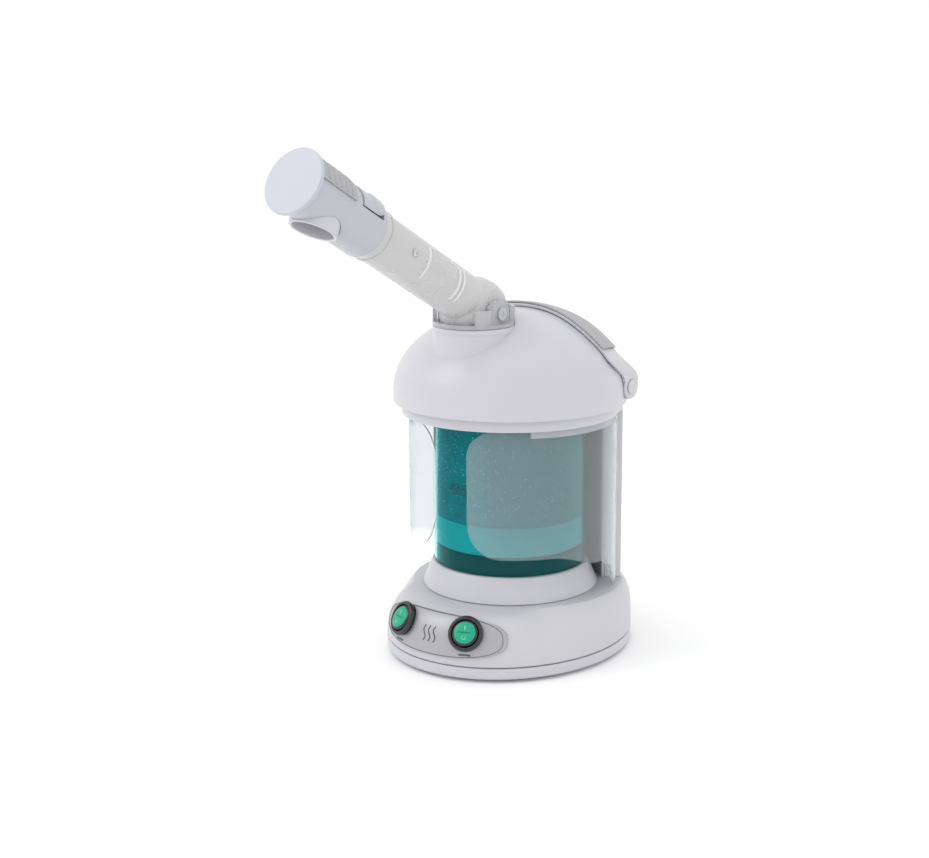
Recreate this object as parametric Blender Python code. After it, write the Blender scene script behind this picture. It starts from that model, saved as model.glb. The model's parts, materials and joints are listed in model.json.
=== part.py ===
"""Table-top facial steamer: base, water jar, shields, hinged dome with carry handle and a tilting steam arm.

Units are metres, +Z is up and the front faces -Y.  The jar stands on the Z axis of the root empty, and the root
is moved along Y so that the world origin lies under the middle of the overall box.
"""

import math

import bmesh
import bpy
from mathutils import Matrix, Vector

MM = 0.001
GAP = 0.3 * MM                      # clearance between touching pieces
WELD_DISTANCE = 0.02 * MM

# Base
BASE_HALF_WIDTH = 78.5 * MM
BASE_HALF_DEPTH = 88.0 * MM
DECK_RADIUS = 70.0 * MM             # edge of the top deck, a circle set back from the front
DECK_BACK = 9.0 * MM
DECK_Z = 42.5 * MM
WALL_START_Z = 12.0 * MM
SEAM_Z = 10.0 * MM
BASE_WALL = 3.2 * MM
DECK_PLATE = 2.6 * MM
DECK_HOLE = 50.0 * MM
FOOT_HEIGHT = 1.7 * MM
FOOT_RADIUS = 7.0 * MM
FOOT_X = 44.0 * MM
FOOT_Y = 52.0 * MM
COVER_PLATE = 3.0 * MM
COVER_WALL = 2.6 * MM
SCREW_X = 44.0 * MM
SCREW_Y = 33.5 * MM
SCREW_HEAD = 3.0 * MM
SCREW_SHANK = 1.3 * MM
SCREW_LENGTH = 12.0 * MM
POST_RADIUS = 3.6 * MM

# Switches and their panel
PANEL_HALF_ANGLE = 35.5
PANEL_MID_Z = 27.6 * MM
PANEL_HALF_HEIGHT = 12.2 * MM
PANEL_SQUARENESS = 0.72             # 1 is a true oval, less is squarer
PANEL_LIFT = 0.7 * MM
PANEL_PLATE = 0.7 * MM
SWITCH_ANGLE = 17.4
SWITCH_Z = 30.6 * MM
SWITCH_BARREL = 10.0 * MM
SWITCH_FLANGE = SWITCH_BARREL + 1.5 * MM
SWITCH_DEPTH = 14.0 * MM
ROCKER_RADIUS = SWITCH_BARREL - 1.6 * MM
ROCKER_TILT = 6.0

# Jar and heater
CONE_FOOT_RADIUS = 58.5 * MM
CONE_TOP_RADIUS = 51.6 * MM
CONE_TOP_Z = 59.0 * MM
CONE_WALL = 2.4 * MM
JAR_RADIUS = 50.5 * MM
JAR_WALL = 2.0 * MM
JAR_TOP_Z = 157.0 * MM
HEATER_TOP_Z = 72.0 * MM
HEATER_HUB = 29.5 * MM
SEAL_HEIGHT = 3.4 * MM

# Shields, rear column and top ring
SHIELD_RADIUS = 69.0 * MM
SHIELD_BACK = 3.5 * MM
SHIELD_WALL = 2.0 * MM
SHIELD_START = 11.3
SHIELD_END = 123.0
SHIELD_BOTTOM_Z = 75.0 * MM
SHIELD_CORNER = 22.0 * MM
SHIELD_TURN_IN = math.degrees(SHIELD_CORNER / SHIELD_RADIUS)
SHIELD_TOP_CORNER = 0.75
COLUMN_RADIUS = 74.7 * MM
COLUMN_HALF_ANGLE = 50.0
COLUMN_WALL = 2.5 * MM
COLUMN_INNER = 64.0 * MM
COLUMN_RECESS = 1.4 * MM
COVER_SHEET = 1.8 * MM
RECESS_BOTTOM_Z = 84.0 * MM
RECESS_TOP_Z = 121.0 * MM
DOME_RADIUS = 76.5 * MM
RING_BOTTOM_Z = JAR_TOP_Z + 1.4 * MM
RING_TOP_Z = RING_BOTTOM_Z + 7.3 * MM
RING_RADIUS = DOME_RADIUS - 5.5 * MM
RING_SKIRT = 1.8 * MM
RING_HOLE = JAR_RADIUS - 4.5 * MM
RING_PLATE = 4.7 * MM

# Dome
DOME_BOTTOM_Z = RING_TOP_Z + GAP
DOME_SPRING_Z = DOME_BOTTOM_Z + 7.0 * MM
DOME_RISE = 53.0 * MM
DOME_WALL = 2.5 * MM
BOSS_Y = -38.7 * MM
BOSS_RADIUS = 26.0 * MM
BOSS_TOP_Z = DOME_SPRING_Z + 47.0 * MM
BOSS_WALL = 1.6 * MM
BOSS_LIP = 2.5 * MM
SEAT_DROP = 0.05 * MM
HINGE_Y = DOME_RADIUS + 5.2 * MM
HINGE_Z = RING_TOP_Z + 2.3 * MM
KNUCKLE_RADIUS = 4.0 * MM
KNUCKLE_HALF = 7.7 * MM
HINGE_PIN_RADIUS = 1.6 * MM
LUG_WIDTH = 5.5 * MM
COVER_PAN = 2.0 * MM
DUCT_RADIUS = 13.0 * MM
DUCT_WALL = 1.8 * MM

# Carry handle
HANDLE_Y = 33.5 * MM
HANDLE_Z = DOME_SPRING_Z + 4.2 * MM
HANDLE_BOSS_RADIUS = 8.3 * MM
HANDLE_FLAT_RADIUS = 9.5 * MM
HANDLE_BOSS_X = DOME_RADIUS - 5.9 * MM
HANDLE_LIFT = 0.6 * MM
HANDLE_THICKNESS = 1.9 * MM
HANDLE_END_X = DOME_RADIUS - 3.6 * MM
HANDLE_END_RADIUS = 8.0 * MM
HANDLE_PIN_RADIUS = 3.0 * MM
HANDLE_PIN_HEAD = 5.0 * MM
HANDLE_HEAD_THICKNESS = 0.8 * MM
STRAP_EASE_FROM = 58.0
STRAP_EASE_TO = 76.0
STRAP_END = 81.0
STRAP_INSET = 0.15 * MM
GRIP_HALF_ANGLE = 56.0
GRIP_THICKNESS = 1.5 * MM

# Steam arm
ARM_RISE = 28.5
PIVOT_Z = BOSS_TOP_Z + 8.5 * MM
HEAD_RADIUS = 22.0 * MM
HEAD_HALF_WIDTH = 16.0 * MM
HEAD_WALL = 2.4 * MM
TUBE_OFFSET = 3.0 * MM
TUBE_RADIUS = 15.4 * MM
TUBE_WALL = 2.0 * MM
TUBE_LENGTH = 108.0 * MM
ARM_SCREW_AT = 87.0 * MM
SLOT_HALF_WIDTH = 11.0 * MM
COLLAR_TOP_Z = BOSS_TOP_Z + 12.0 * MM
COLLAR_WALL = 2.5 * MM
COLLAR_FLANGE = 2.2 * MM
SPIGOT_RADIUS = 22.6 * MM
SPIGOT_WALL = 1.3 * MM
SPIGOT_BOTTOM_Z = BOSS_TOP_Z - 8.5 * MM
EAR_OUTER_X = 21.5 * MM
EAR_RADIUS = 9.0 * MM
PIN_RADIUS = 2.5 * MM
PIN_HEAD = 4.0 * MM
SLIDE_RADIUS = 13.1 * MM
SLIDE_WALL = 1.6 * MM
SLIDE_START = 52.0 * MM
SEAL_LENGTH = 3.0 * MM
CUFF_RADIUS = 16.2 * MM
CUFF_LENGTH = 9.4 * MM
NOZZLE_START = 118.3 * MM
NOZZLE_RADIUS = 17.3 * MM
NOZZLE_WALL = 2.5 * MM
NOZZLE_END = 180.4 * MM
NOZZLE_PLATE = 2.6 * MM
CAP_RADIUS = 20.0 * MM
CAP_THICKNESS = 2.6 * MM
CAP_BEVEL = 0.8 * MM
CAP_LIP = CAP_RADIUS - CAP_BEVEL
OUTLET_AT = 157.0 * MM
OUTLET_RADIUS = 14.2 * MM
OUTLET_WALL = 2.0 * MM
OUTLET_DROP = 18.4 * MM
OUTLET_INNER = 7.0 * MM
CATCH_FROM = 123.0 * MM
CATCH_TO = 142.0 * MM
CATCH_HALF_WIDTH = 8.0 * MM
CATCH_ROOT_Y = 16.4 * MM
CATCH_TOP_Y = 18.2 * MM
CATCH_LOW_Y = 15.6 * MM
GRIP_FROM = 149.0 * MM
GRIP_PAD = 1.2 * MM
GRIP_HALF_SPAN = 30.0
GRIP_TURN = -45.0                   # grip and catch sit on the nozzle's upper +X side

# Insides
WIRE_RADIUS = 2.4 * MM
WIRE_Y = 67.4 * MM
INLET_RADIUS = 5.0 * MM
INLET_BORE = 2.6 * MM
INLET_FLANGE = 1.6 * MM
INLET_Z = 22.0 * MM
ELEMENT_RING = 22.0 * MM
ELEMENT_RADIUS = 3.2 * MM
LAMP_Y = 14.0 * MM
LAMP_RADIUS = 4.5 * MM

FULL_TURN = 40                      # columns of a large turned shell
SMALL_TURN = 20
BALL_TURN = 26


# ---------------------------------------------------------------- helpers

def material(name, colour, roughness, metallic=0.0, alpha=1.0):
    """One Principled material."""
    made = bpy.data.materials.new(name)
    made.use_nodes = True
    shader = made.node_tree.nodes["Principled BSDF"]
    shader.inputs["Base Color"].default_value = (*colour, 1.0)
    shader.inputs["Roughness"].default_value = roughness
    shader.inputs["Metallic"].default_value = metallic
    shader.inputs["Alpha"].default_value = alpha
    return made


def smooth_between(x, stations):
    """Value at x of a curve that eases from one (x, value) station to the next."""
    if x <= stations[0][0]:
        return stations[0][1]
    for (x0, v0), (x1, v1) in zip(stations, stations[1:]):
        if x <= x1:
            share = (x - x0) / (x1 - x0)
            return v0 + (v1 - v0) * (1 - math.cos(math.pi * share)) / 2
    return stations[-1][1]


def spread(start, end, count):
    """count values from start to end, both included."""
    return [start + (end - start) * index / (count - 1) for index in range(count)]


def around(radius, angle, z):
    """Point at an angle in degrees from the front (-Y), turning towards +X."""
    turn = math.radians(angle)
    return Vector((radius * math.sin(turn), -radius * math.cos(turn), z))


def finish(name, mesh_data, look, parent, location=(0, 0, 0), rotation=(0, 0, 0), sharp=30.0):
    """Turn a bmesh into a named object on its parent, shaded smooth with sharp edges kept."""
    bmesh.ops.remove_doubles(mesh_data, verts=mesh_data.verts, dist=0.002 * MM)
    loose = [edge for edge in mesh_data.edges if not edge.link_faces]
    bmesh.ops.delete(mesh_data, geom=loose, context="EDGES")
    bmesh.ops.recalc_face_normals(mesh_data, faces=mesh_data.faces)
    mesh = bpy.data.meshes.new(name)
    mesh_data.to_mesh(mesh)
    mesh_data.free()
    mesh.shade_smooth()
    mesh.set_sharp_from_angle(angle=math.radians(sharp))
    made = bpy.data.objects.new(name, mesh)
    bpy.context.scene.collection.objects.link(made)
    made.parent = parent
    made.location = location
    made.rotation_euler = rotation
    if look is not None:
        mesh.materials.append(look)
    return made


def loft(name, loops, look, parent, closed=False, **place):
    """Skin a row of point loops; the ends are capped, or joined to each other when closed."""
    shape = bmesh.new()
    rows = [[shape.verts.new(point) for point in loop] for loop in loops]
    pairs = list(zip(rows, rows[1:]))
    if closed:
        pairs.append((rows[-1], rows[0]))
    for first, second in pairs:
        for index in range(len(first)):
            after = (index + 1) % len(first)
            shape.faces.new((first[index], first[after], second[after], second[index]))
    if not closed:
        shape.faces.new(rows[0])
        shape.faces.new(rows[-1])
    return finish(name, shape, look, parent, **place)


def turned(name, outline, look, parent, segments=SMALL_TURN, **place):
    """Closed (radius, height) outline turned about the local Z axis."""
    loops = [
        [Vector((r * math.cos(t), r * math.sin(t), z)) for r, z in outline]
        for t in (2 * math.pi * index / segments for index in range(segments))
    ]
    return loft(name, loops, look, parent, closed=True, **place)


def prism(name, outline, half_width, look, parent, centre_x=0.0, **place):
    """(y, z) outline extruded along X."""
    loops = [[Vector((centre_x + side * half_width, y, z)) for y, z in outline] for side in (-1, 1)]
    return loft(name, loops, look, parent, **place)


def block(name, size, look, parent, **place):
    """Box centred on its origin."""
    x, y, z = (length / 2 for length in size)
    return prism(name, [(-y, -z), (y, -z), (y, z), (-y, z)], x, look, parent, **place)


def arc(centre, radius, start, end, count):
    """Points of a circular arc in a plane, angles in degrees."""
    return [
        (centre[0] + radius * math.cos(math.radians(a)), centre[1] + radius * math.sin(math.radians(a)))
        for a in spread(start, end, count)
    ]


def rod(name, radius, start, end, look, parent, segments=SMALL_TURN, **place):
    """Plain cylinder along the local Z axis."""
    return turned(name, [(0, start), (radius, start), (radius, end), (0, end)], look, parent, segments, **place)


def combine(target, tool, operation="DIFFERENCE"):
    """Cut the tool from the target, or join it; the tool is only a guide afterwards."""
    change = target.modifiers.new(operation.lower(), "BOOLEAN")
    change.operation = operation
    change.object = tool
    change.solver = "EXACT"
    tool.hide_render = True
    tool.display_type = "WIRE"
    return target


def weld(target):
    """Merge the near-coincident corners that a run of cuts leaves."""
    change = target.modifiers.new("weld", "WELD")
    change.merge_threshold = WELD_DISTANCE
    return target


def empty(name, parent, location=(0, 0, 0), rotation=(0, 0, 0)):
    """Named frame."""
    made = bpy.data.objects.new(name, None)
    bpy.context.scene.collection.objects.link(made)
    made.parent = parent
    made.location = location
    made.rotation_euler = rotation
    return made


# ---------------------------------------------------------------- base surface

def foot_radius(angle):
    """Radius of the base's elliptical outline."""
    turn = math.radians(angle)
    return 1 / math.hypot(math.sin(turn) / BASE_HALF_WIDTH, math.cos(turn) / BASE_HALF_DEPTH)


def deck_radius(angle):
    """Distance from the jar axis to the deck's edge."""
    turn = math.radians(angle)
    return -DECK_BACK * math.cos(turn) + math.sqrt(DECK_RADIUS ** 2 - (DECK_BACK * math.sin(turn)) ** 2)


def wall_radius(angle, z):
    """Outer wall of the base: full in the front console, leaner at the sides, upright at the back."""
    side = abs((angle + 180) % 360 - 180)
    fullness = smooth_between(side, [(34, 3.0), (56, 1.15), (130, 1.4)])
    power = smooth_between(side, [(34, 1.8), (56, 1.5), (125, 4.0)])
    share = min(max((z - WALL_START_Z) / (DECK_Z - WALL_START_Z), 0.0), 1.0)
    bulge = (1 - share ** power) ** (1 / fullness)
    return deck_radius(angle) + (foot_radius(angle) - deck_radius(angle)) * bulge


def wall_frame(angle, z):
    """Point on the base wall with its outward normal."""
    step = 0.5
    rise = 0.4 * MM
    point = around(wall_radius(angle, z), angle, z)
    along = around(wall_radius(angle + step, z), angle + step, z) - around(
        wall_radius(angle - step, z), angle - step, z)
    up = around(wall_radius(angle, z + rise), angle, z + rise) - around(
        wall_radius(angle, z - rise), angle, z - rise)
    return point, along.cross(up).normalized()


def front_reach():
    """World-Y distance from the jar axis to the foremost point of the arm's end cap."""
    rise = math.radians(ARM_RISE)
    tip = NOZZLE_END + GAP + CAP_THICKNESS
    return -BOSS_Y - TUBE_OFFSET * math.sin(rise) + tip * math.cos(rise) + CAP_LIP * math.sin(rise)


MODEL_SHIFT = (front_reach() - BASE_HALF_DEPTH - INLET_FLANGE) / 2


# ---------------------------------------------------------------- sub-parts

def make_looks():
    """Every plain material of the model."""
    return {
        "white": material("white_plastic", (0.80, 0.80, 0.83), 0.35),
        "grey": material("grey_plastic", (0.56, 0.56, 0.58), 0.45),
        "frosted": material("frosted_plastic", (0.72, 0.74, 0.76), 0.5, alpha=0.6),
        "teal": material("teal_plastic", (0.0, 0.35, 0.38), 0.1, alpha=0.7),
        "dark": material("dark_metal", (0.03, 0.08, 0.09), 0.4, 0.6),
        "silver": material("silver_panel", (0.62, 0.62, 0.63), 0.3, 0.9),
        "black": material("black_plastic", (0.01, 0.01, 0.01), 0.35),
        "green": material("green_lens", (0.0, 0.42, 0.2), 0.2),
        "rubber": material("rubber", (0.05, 0.05, 0.05), 0.8),
        "steel": material("steel", (0.6, 0.6, 0.6), 0.25, 1.0),
        "board": material("circuit_board", (0.02, 0.2, 0.06), 0.5),
        "copper": material("copper", (0.7, 0.3, 0.15), 0.35, 1.0),
        "glass": material("lamp_glass", (0.75, 0.8, 0.95), 0.05, alpha=0.5),
    }


def make_base_shell(looks, root):
    """Deck and wall in one shell, with the jar opening, screw posts, switch holes and cord hole."""
    levels = spread(SEAM_Z + GAP, WALL_START_Z, 2) + [
        WALL_START_Z + (DECK_Z - WALL_START_Z) * math.sin(math.radians(a)) for a in spread(18, 90, 7)]
    inner_top = DECK_Z - DECK_PLATE
    inner_levels = spread(inner_top, SEAM_Z + GAP, 4)
    loops = []
    for index in range(FULL_TURN):
        angle = 360 * index / FULL_TURN
        loop = [around(wall_radius(angle, z), angle, z) for z in levels]
        loop += [around(DECK_HOLE, angle, DECK_Z), around(DECK_HOLE, angle, inner_top)]
        loop += [around(wall_radius(angle, z) - BASE_WALL, angle, z) for z in inner_levels]
        loops.append(loop)
    shell = loft("base_shell", loops, looks["white"], root, closed=True)
    post_bottom = FOOT_HEIGHT + GAP + COVER_PLATE + GAP
    for side_x in (-1, 1):
        for side_y in (-1, 1):
            spot = (side_x * SCREW_X, side_y * SCREW_Y, 0)
            post = rod("guide_post", POST_RADIUS, post_bottom, inner_top + 1 * MM, None, root, 16, location=spot)
            combine(shell, post, "UNION")
            hole = rod("guide_post_hole", SCREW_SHANK + GAP, post_bottom - 1 * MM,
                       post_bottom + SCREW_LENGTH, None, root, 12, location=spot)
            combine(shell, hole)
    wire_hole = rod("guide_wire_hole", WIRE_RADIUS + 1.2 * MM, inner_top - 2 * MM, DECK_Z + 2 * MM, None, root, 15,
                    location=(0, WIRE_Y, 0), rotation=(0, 0, math.radians(4)))
    combine(shell, wire_hole)
    cord_hole = rod("guide_cord_hole", INLET_RADIUS + GAP, -20 * MM, 20 * MM, None, root, 16,
                    location=(0, BASE_HALF_DEPTH, INLET_Z), rotation=(math.pi / 2, 0, 0))
    combine(shell, cord_hole)
    return shell


def make_bottom_cover(looks, root):
    """Tray that closes the base from below, its feet and its four screws."""
    bottom = FOOT_HEIGHT + GAP
    plate_top = bottom + COVER_PLATE
    rim_top = SEAM_Z - GAP
    chamfer = 1.6 * MM
    loops = []
    for index in range(FULL_TURN):
        angle = 360 * index / FULL_TURN
        edge = foot_radius(angle)
        outline = [(0, bottom), (edge - chamfer, bottom), (edge, bottom + chamfer), (edge, rim_top),
                   (edge - COVER_WALL, rim_top), (edge - COVER_WALL, plate_top), (0, plate_top)]
        loops.append([around(r, angle, z) for r, z in outline])
    cover = loft("bottom_cover", loops, looks["white"], root, closed=True)
    recess = 1.6 * MM
    number = 0
    for side_y, end in ((-1, "front"), (1, "rear")):
        for side_x, hand in ((-1, "left"), (1, "right")):
            number += 1
            spot = (side_x * SCREW_X, side_y * SCREW_Y, 0)
            head_hole = rod("guide_head_hole", SCREW_HEAD + GAP, bottom - 1 * MM, bottom + recess, None, root, 16,
                            location=spot)
            combine(cover, head_hole)
            shank_hole = rod("guide_shank_hole", SCREW_SHANK + GAP, bottom - 1 * MM, plate_top + 1 * MM, None, root,
                             12, location=spot)
            combine(cover, shank_hole)
            head_top = bottom + recess - GAP
            profile = [(0, bottom + 0.2 * MM), (SCREW_HEAD, bottom + 0.2 * MM), (SCREW_HEAD, head_top),
                       (SCREW_SHANK, head_top), (SCREW_SHANK, head_top + SCREW_LENGTH), (0, head_top + SCREW_LENGTH)]
            turned(f"cover_screw_{number}", profile, looks["steel"], root, 8, location=spot)
            foot = [(0, 0), (FOOT_RADIUS - 0.5 * MM, 0), (FOOT_RADIUS, 0.5 * MM), (FOOT_RADIUS, FOOT_HEIGHT),
                    (0, FOOT_HEIGHT)]
            turned(f"foot_{end}_{hand}", foot, looks["rubber"], root, 12,
                   location=(side_x * FOOT_X, side_y * FOOT_Y, 0))
    return cover


def make_switches(looks, root, shell):
    """Oval panel on the front wall and two round rocker switches set into it."""
    rings, spokes = 4, 32
    plate = bmesh.new()
    layers = []
    for lift in (PANEL_LIFT, PANEL_LIFT + PANEL_PLATE):
        layer = []
        for ring in range(1, rings + 1):
            share = ring / rings
            row = []
            for spoke in range(spokes):
                turn = 2 * math.pi * spoke / spokes
                across, up = (math.copysign(abs(f) ** PANEL_SQUARENESS, f)
                              for f in (math.cos(turn), math.sin(turn)))
                angle = PANEL_HALF_ANGLE * share * across
                z = PANEL_MID_Z + PANEL_HALF_HEIGHT * share * up
                point, normal = wall_frame(angle, z)
                row.append(plate.verts.new(point + normal * lift))
            layer.append(row)
        point, normal = wall_frame(0, PANEL_MID_Z)
        layers.append((layer, plate.verts.new(point + normal * lift)))
    for layer, centre in layers:
        for spoke in range(spokes):
            after = (spoke + 1) % spokes
            plate.faces.new((centre, layer[0][spoke], layer[0][after]))
            for inner, outer in zip(layer, layer[1:]):
                plate.faces.new((inner[spoke], outer[spoke], outer[after], inner[after]))
    for spoke in range(spokes):
        after = (spoke + 1) % spokes
        low, high = layers[0][0][-1], layers[1][0][-1]
        plate.faces.new((low[spoke], low[after], high[after], high[spoke]))
    panel = finish("control_panel", plate, looks["silver"], root)

    seat = PANEL_LIFT + PANEL_PLATE + 1.0 * MM
    rim = seat + 2.4 * MM
    socket = ROCKER_RADIUS + 0.6 * MM
    pivot = seat - 0.4 * MM
    for side, use in ((-1, "ozone"), (1, "steam")):
        point, normal = wall_frame(side * SWITCH_ANGLE, SWITCH_Z)
        across = Vector((0, 0, 1)).cross(normal).normalized()
        upward = normal.cross(across)
        turn = Matrix((across, upward, normal)).transposed().to_euler()
        hole = rod("guide_switch_hole", SWITCH_BARREL + GAP, -20 * MM, 20 * MM, None, root, 20,
                   location=point, rotation=turn)
        combine(shell, hole)
        combine(panel, hole)
        body = [(0, -SWITCH_DEPTH), (SWITCH_BARREL, -SWITCH_DEPTH), (SWITCH_BARREL, seat), (SWITCH_FLANGE, seat),
                (SWITCH_FLANGE, seat + 1.2 * MM), (SWITCH_FLANGE - 0.9 * MM, rim), (socket, rim),
                (socket, pivot - 4 * MM), (0, pivot - 4 * MM)]
        turned(f"{use}_switch_body", body, looks["black"], root, 20, location=point, rotation=turn)
        rocker = [(0, -2.4 * MM), (ROCKER_RADIUS, -2.4 * MM), (ROCKER_RADIUS, 2.6 * MM),
                  (ROCKER_RADIUS * 0.8, 3.6 * MM), (ROCKER_RADIUS * 0.4, 4.2 * MM), (0, 4.4 * MM)]
        tilt = (Matrix((across, upward, normal)).transposed()
                @ Matrix.Rotation(math.radians(-ROCKER_TILT), 3, "X")).to_euler()
        turned(f"{use}_rocker", rocker, looks["green"], root, 20, location=point + normal * pivot, rotation=tilt)


def make_jar(looks, root):
    """Cone, clear jar, heater plate with its element, and the seal on the jar's rim."""
    foot = DECK_Z + GAP
    top = CONE_TOP_Z
    cone = [(CONE_FOOT_RADIUS, foot), (CONE_TOP_RADIUS, top), (HEATER_HUB + GAP, top),
            (HEATER_HUB + GAP, top - CONE_WALL), (CONE_TOP_RADIUS - CONE_WALL, top - CONE_WALL),
            (CONE_FOOT_RADIUS - CONE_WALL, foot)]
    turned("jar_cone", cone, looks["white"], root, FULL_TURN)
    jar_foot = top + GAP
    inside = JAR_RADIUS - JAR_WALL
    jar = [(JAR_RADIUS, jar_foot), (JAR_RADIUS, JAR_TOP_Z), (inside, JAR_TOP_Z), (inside, jar_foot)]
    turned("water_jar", jar, looks["teal"], root, FULL_TURN)
    edge = inside - GAP
    hub_bottom = top - 9 * MM
    heater = [(0, hub_bottom), (HEATER_HUB, hub_bottom), (HEATER_HUB, jar_foot), (edge, jar_foot),
              (edge, HEATER_TOP_Z - 2 * MM), (edge - 3 * MM, HEATER_TOP_Z), (0, HEATER_TOP_Z)]
    turned("heater_plate", heater, looks["dark"], root, FULL_TURN)
    element_z = hub_bottom - GAP - ELEMENT_RADIUS
    section = arc((ELEMENT_RING, element_z), ELEMENT_RADIUS, 0, 300, 6)
    turned("heating_element", section, looks["copper"], root, 20)
    stat_top = hub_bottom - GAP
    rod("thermostat", 9 * MM, stat_top - 7 * MM, stat_top, looks["steel"], root, 12)
    seal_foot = JAR_TOP_Z + GAP
    seal = [(JAR_RADIUS, seal_foot), (JAR_RADIUS, seal_foot + SEAL_HEIGHT), (inside, seal_foot + SEAL_HEIGHT),
            (inside, seal_foot)]
    turned("jar_seal", seal, looks["rubber"], root, FULL_TURN)


def make_electrics(looks, root):
    """Control board, its wires and the cord inlet at the back of the base."""
    board_z = FOOT_HEIGHT + GAP + COVER_PLATE + 5 * MM
    board = block("control_board", (56 * MM, 34 * MM, 1.6 * MM), looks["board"], root,
                  location=(0, 42 * MM, board_z))
    for x, height in ((-18 * MM, 12 * MM), (-3 * MM, 8 * MM), (14 * MM, 15 * MM)):
        chip = block("guide_component", (11 * MM, 14 * MM, height), None, root,
                     location=(x, 42 * MM, board_z + height / 2))
        combine(board, chip, "UNION")
    rod("wiring_harness", WIRE_RADIUS, 12 * MM, RING_BOTTOM_Z - 4 * MM, looks["rubber"], root, 16,
        location=(0, WIRE_Y, 0))
    wall = foot_radius(180)
    flange = [(INLET_BORE, -8 * MM), (INLET_RADIUS, -8 * MM), (INLET_RADIUS, GAP), (INLET_RADIUS + 1.6 * MM, GAP),
              (INLET_RADIUS + 1.6 * MM, INLET_FLANGE), (INLET_BORE, INLET_FLANGE)]
    turned("cord_inlet", flange, looks["rubber"], root, 16, location=(0, wall, INLET_Z),
           rotation=(-math.pi / 2, 0, 0))


def shield_bottom(angle):
    """Lower edge of a shield, dropping to the deck at its rear leg."""
    foot = DECK_Z + GAP
    return smooth_between(angle, [(56, SHIELD_BOTTOM_Z), (92, SHIELD_BOTTOM_Z - 9 * MM), (118, foot)])


def make_shields(looks, root):
    """Two frosted shields round the jar, each hung from a bracket under the ring."""
    top = RING_BOTTOM_Z - GAP
    rows = 5
    angles = [SHIELD_START + SHIELD_TURN_IN * (1 - math.cos(math.radians(a))) for a in spread(0, 90, 8)]
    angles += spread(SHIELD_START + SHIELD_TURN_IN, SHIELD_END, 17)[1:]
    for side, hand in ((-1, "left"), (1, "right")):
        loops = []
        for angle in angles:
            run = math.radians(angle - SHIELD_START) * SHIELD_RADIUS
            inset = max(SHIELD_CORNER - run, 0.0)
            cut = SHIELD_CORNER - math.sqrt(max(SHIELD_CORNER ** 2 - inset ** 2, 0.0))
            low = shield_bottom(angle) + cut
            heights = spread(low, top - cut * SHIELD_TOP_CORNER, rows)
            shift = Vector((0, SHIELD_BACK, 0))
            outer = [around(SHIELD_RADIUS, side * angle, z) + shift for z in heights]
            inner = [around(SHIELD_RADIUS - SHIELD_WALL, side * angle, z) + shift for z in reversed(heights)]
            loops.append(outer + inner)
        loft(f"shield_{hand}", loops, looks["frosted"], root, sharp=40.0)
        outside = SHIELD_RADIUS - SHIELD_WALL - GAP
        low, high = RING_BOTTOM_Z - 5.4 * MM, RING_TOP_Z - RING_PLATE - GAP
        band = []
        for angle in spread(46, 118, 11):
            shift = Vector((0, SHIELD_BACK, 0))
            corners = ((outside, low), (outside, RING_BOTTOM_Z - GAP), (outside - 1.5 * MM, high),
                       (outside - 3.0 * MM, high), (outside - 3.0 * MM, low))
            band.append([around(r, side * angle, z) + shift for r, z in corners])
        loft(f"shield_bracket_{hand}", band, looks["white"], root)


def make_column(looks, root):
    """Rear column with a shallow grip recess, and the cover that hides its wires."""
    foot, top = DECK_Z + GAP, RING_BOTTOM_Z - GAP
    slope = 3 * MM
    levels = [(foot, 0), (RECESS_BOTTOM_Z - slope, 0), (RECESS_BOTTOM_Z, 1), (RECESS_TOP_Z, 1),
              (RECESS_TOP_Z + slope, 0), (top, 0)]
    loops = []
    for z, recess in levels:
        loop = []
        for angle in spread(180 - COLUMN_HALF_ANGLE, 180 + COLUMN_HALF_ANGLE, 17):
            across = abs(angle - 180) / COLUMN_HALF_ANGLE
            depth = COLUMN_RECESS * recess if across < 0.8 else 0.0
            loop.append(around(COLUMN_RADIUS - depth, angle, z))
        loop.append(around(COLUMN_INNER, 180 + COLUMN_HALF_ANGLE, z))
        edge = math.degrees(COLUMN_WALL / COLUMN_INNER)
        loop.append(around(COLUMN_INNER, 180 + COLUMN_HALF_ANGLE - edge, z))
        inner = COLUMN_RADIUS - COLUMN_WALL - COLUMN_RECESS
        for angle in spread(180 + COLUMN_HALF_ANGLE - edge, 180 - COLUMN_HALF_ANGLE + edge, 13):
            loop.append(around(inner, angle, z))
        loop.append(around(COLUMN_INNER, 180 - COLUMN_HALF_ANGLE + edge, z))
        loop.append(around(COLUMN_INNER, 180 - COLUMN_HALF_ANGLE, z))
        loops.append(loop)
    loft("rear_column", loops, looks["white"], root)
    outer = COLUMN_INNER - GAP
    sheet = []
    for angle in spread(180 - COLUMN_HALF_ANGLE, 180 + COLUMN_HALF_ANGLE, 15):
        sheet.append([around(r, angle, z) for r, z in (
            (outer, foot), (outer, top), (outer - COVER_SHEET, top), (outer - COVER_SHEET, foot))])
    loft("column_cover", sheet, looks["white"], root)


def ring_radius(angle):
    """The ring is wider at the back, where it caps the column."""
    from_back = abs((angle % 360) - 180)
    return smooth_between(from_back, [(COLUMN_HALF_ANGLE, COLUMN_RADIUS), (COLUMN_HALF_ANGLE + 12, RING_RADIUS)])


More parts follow.
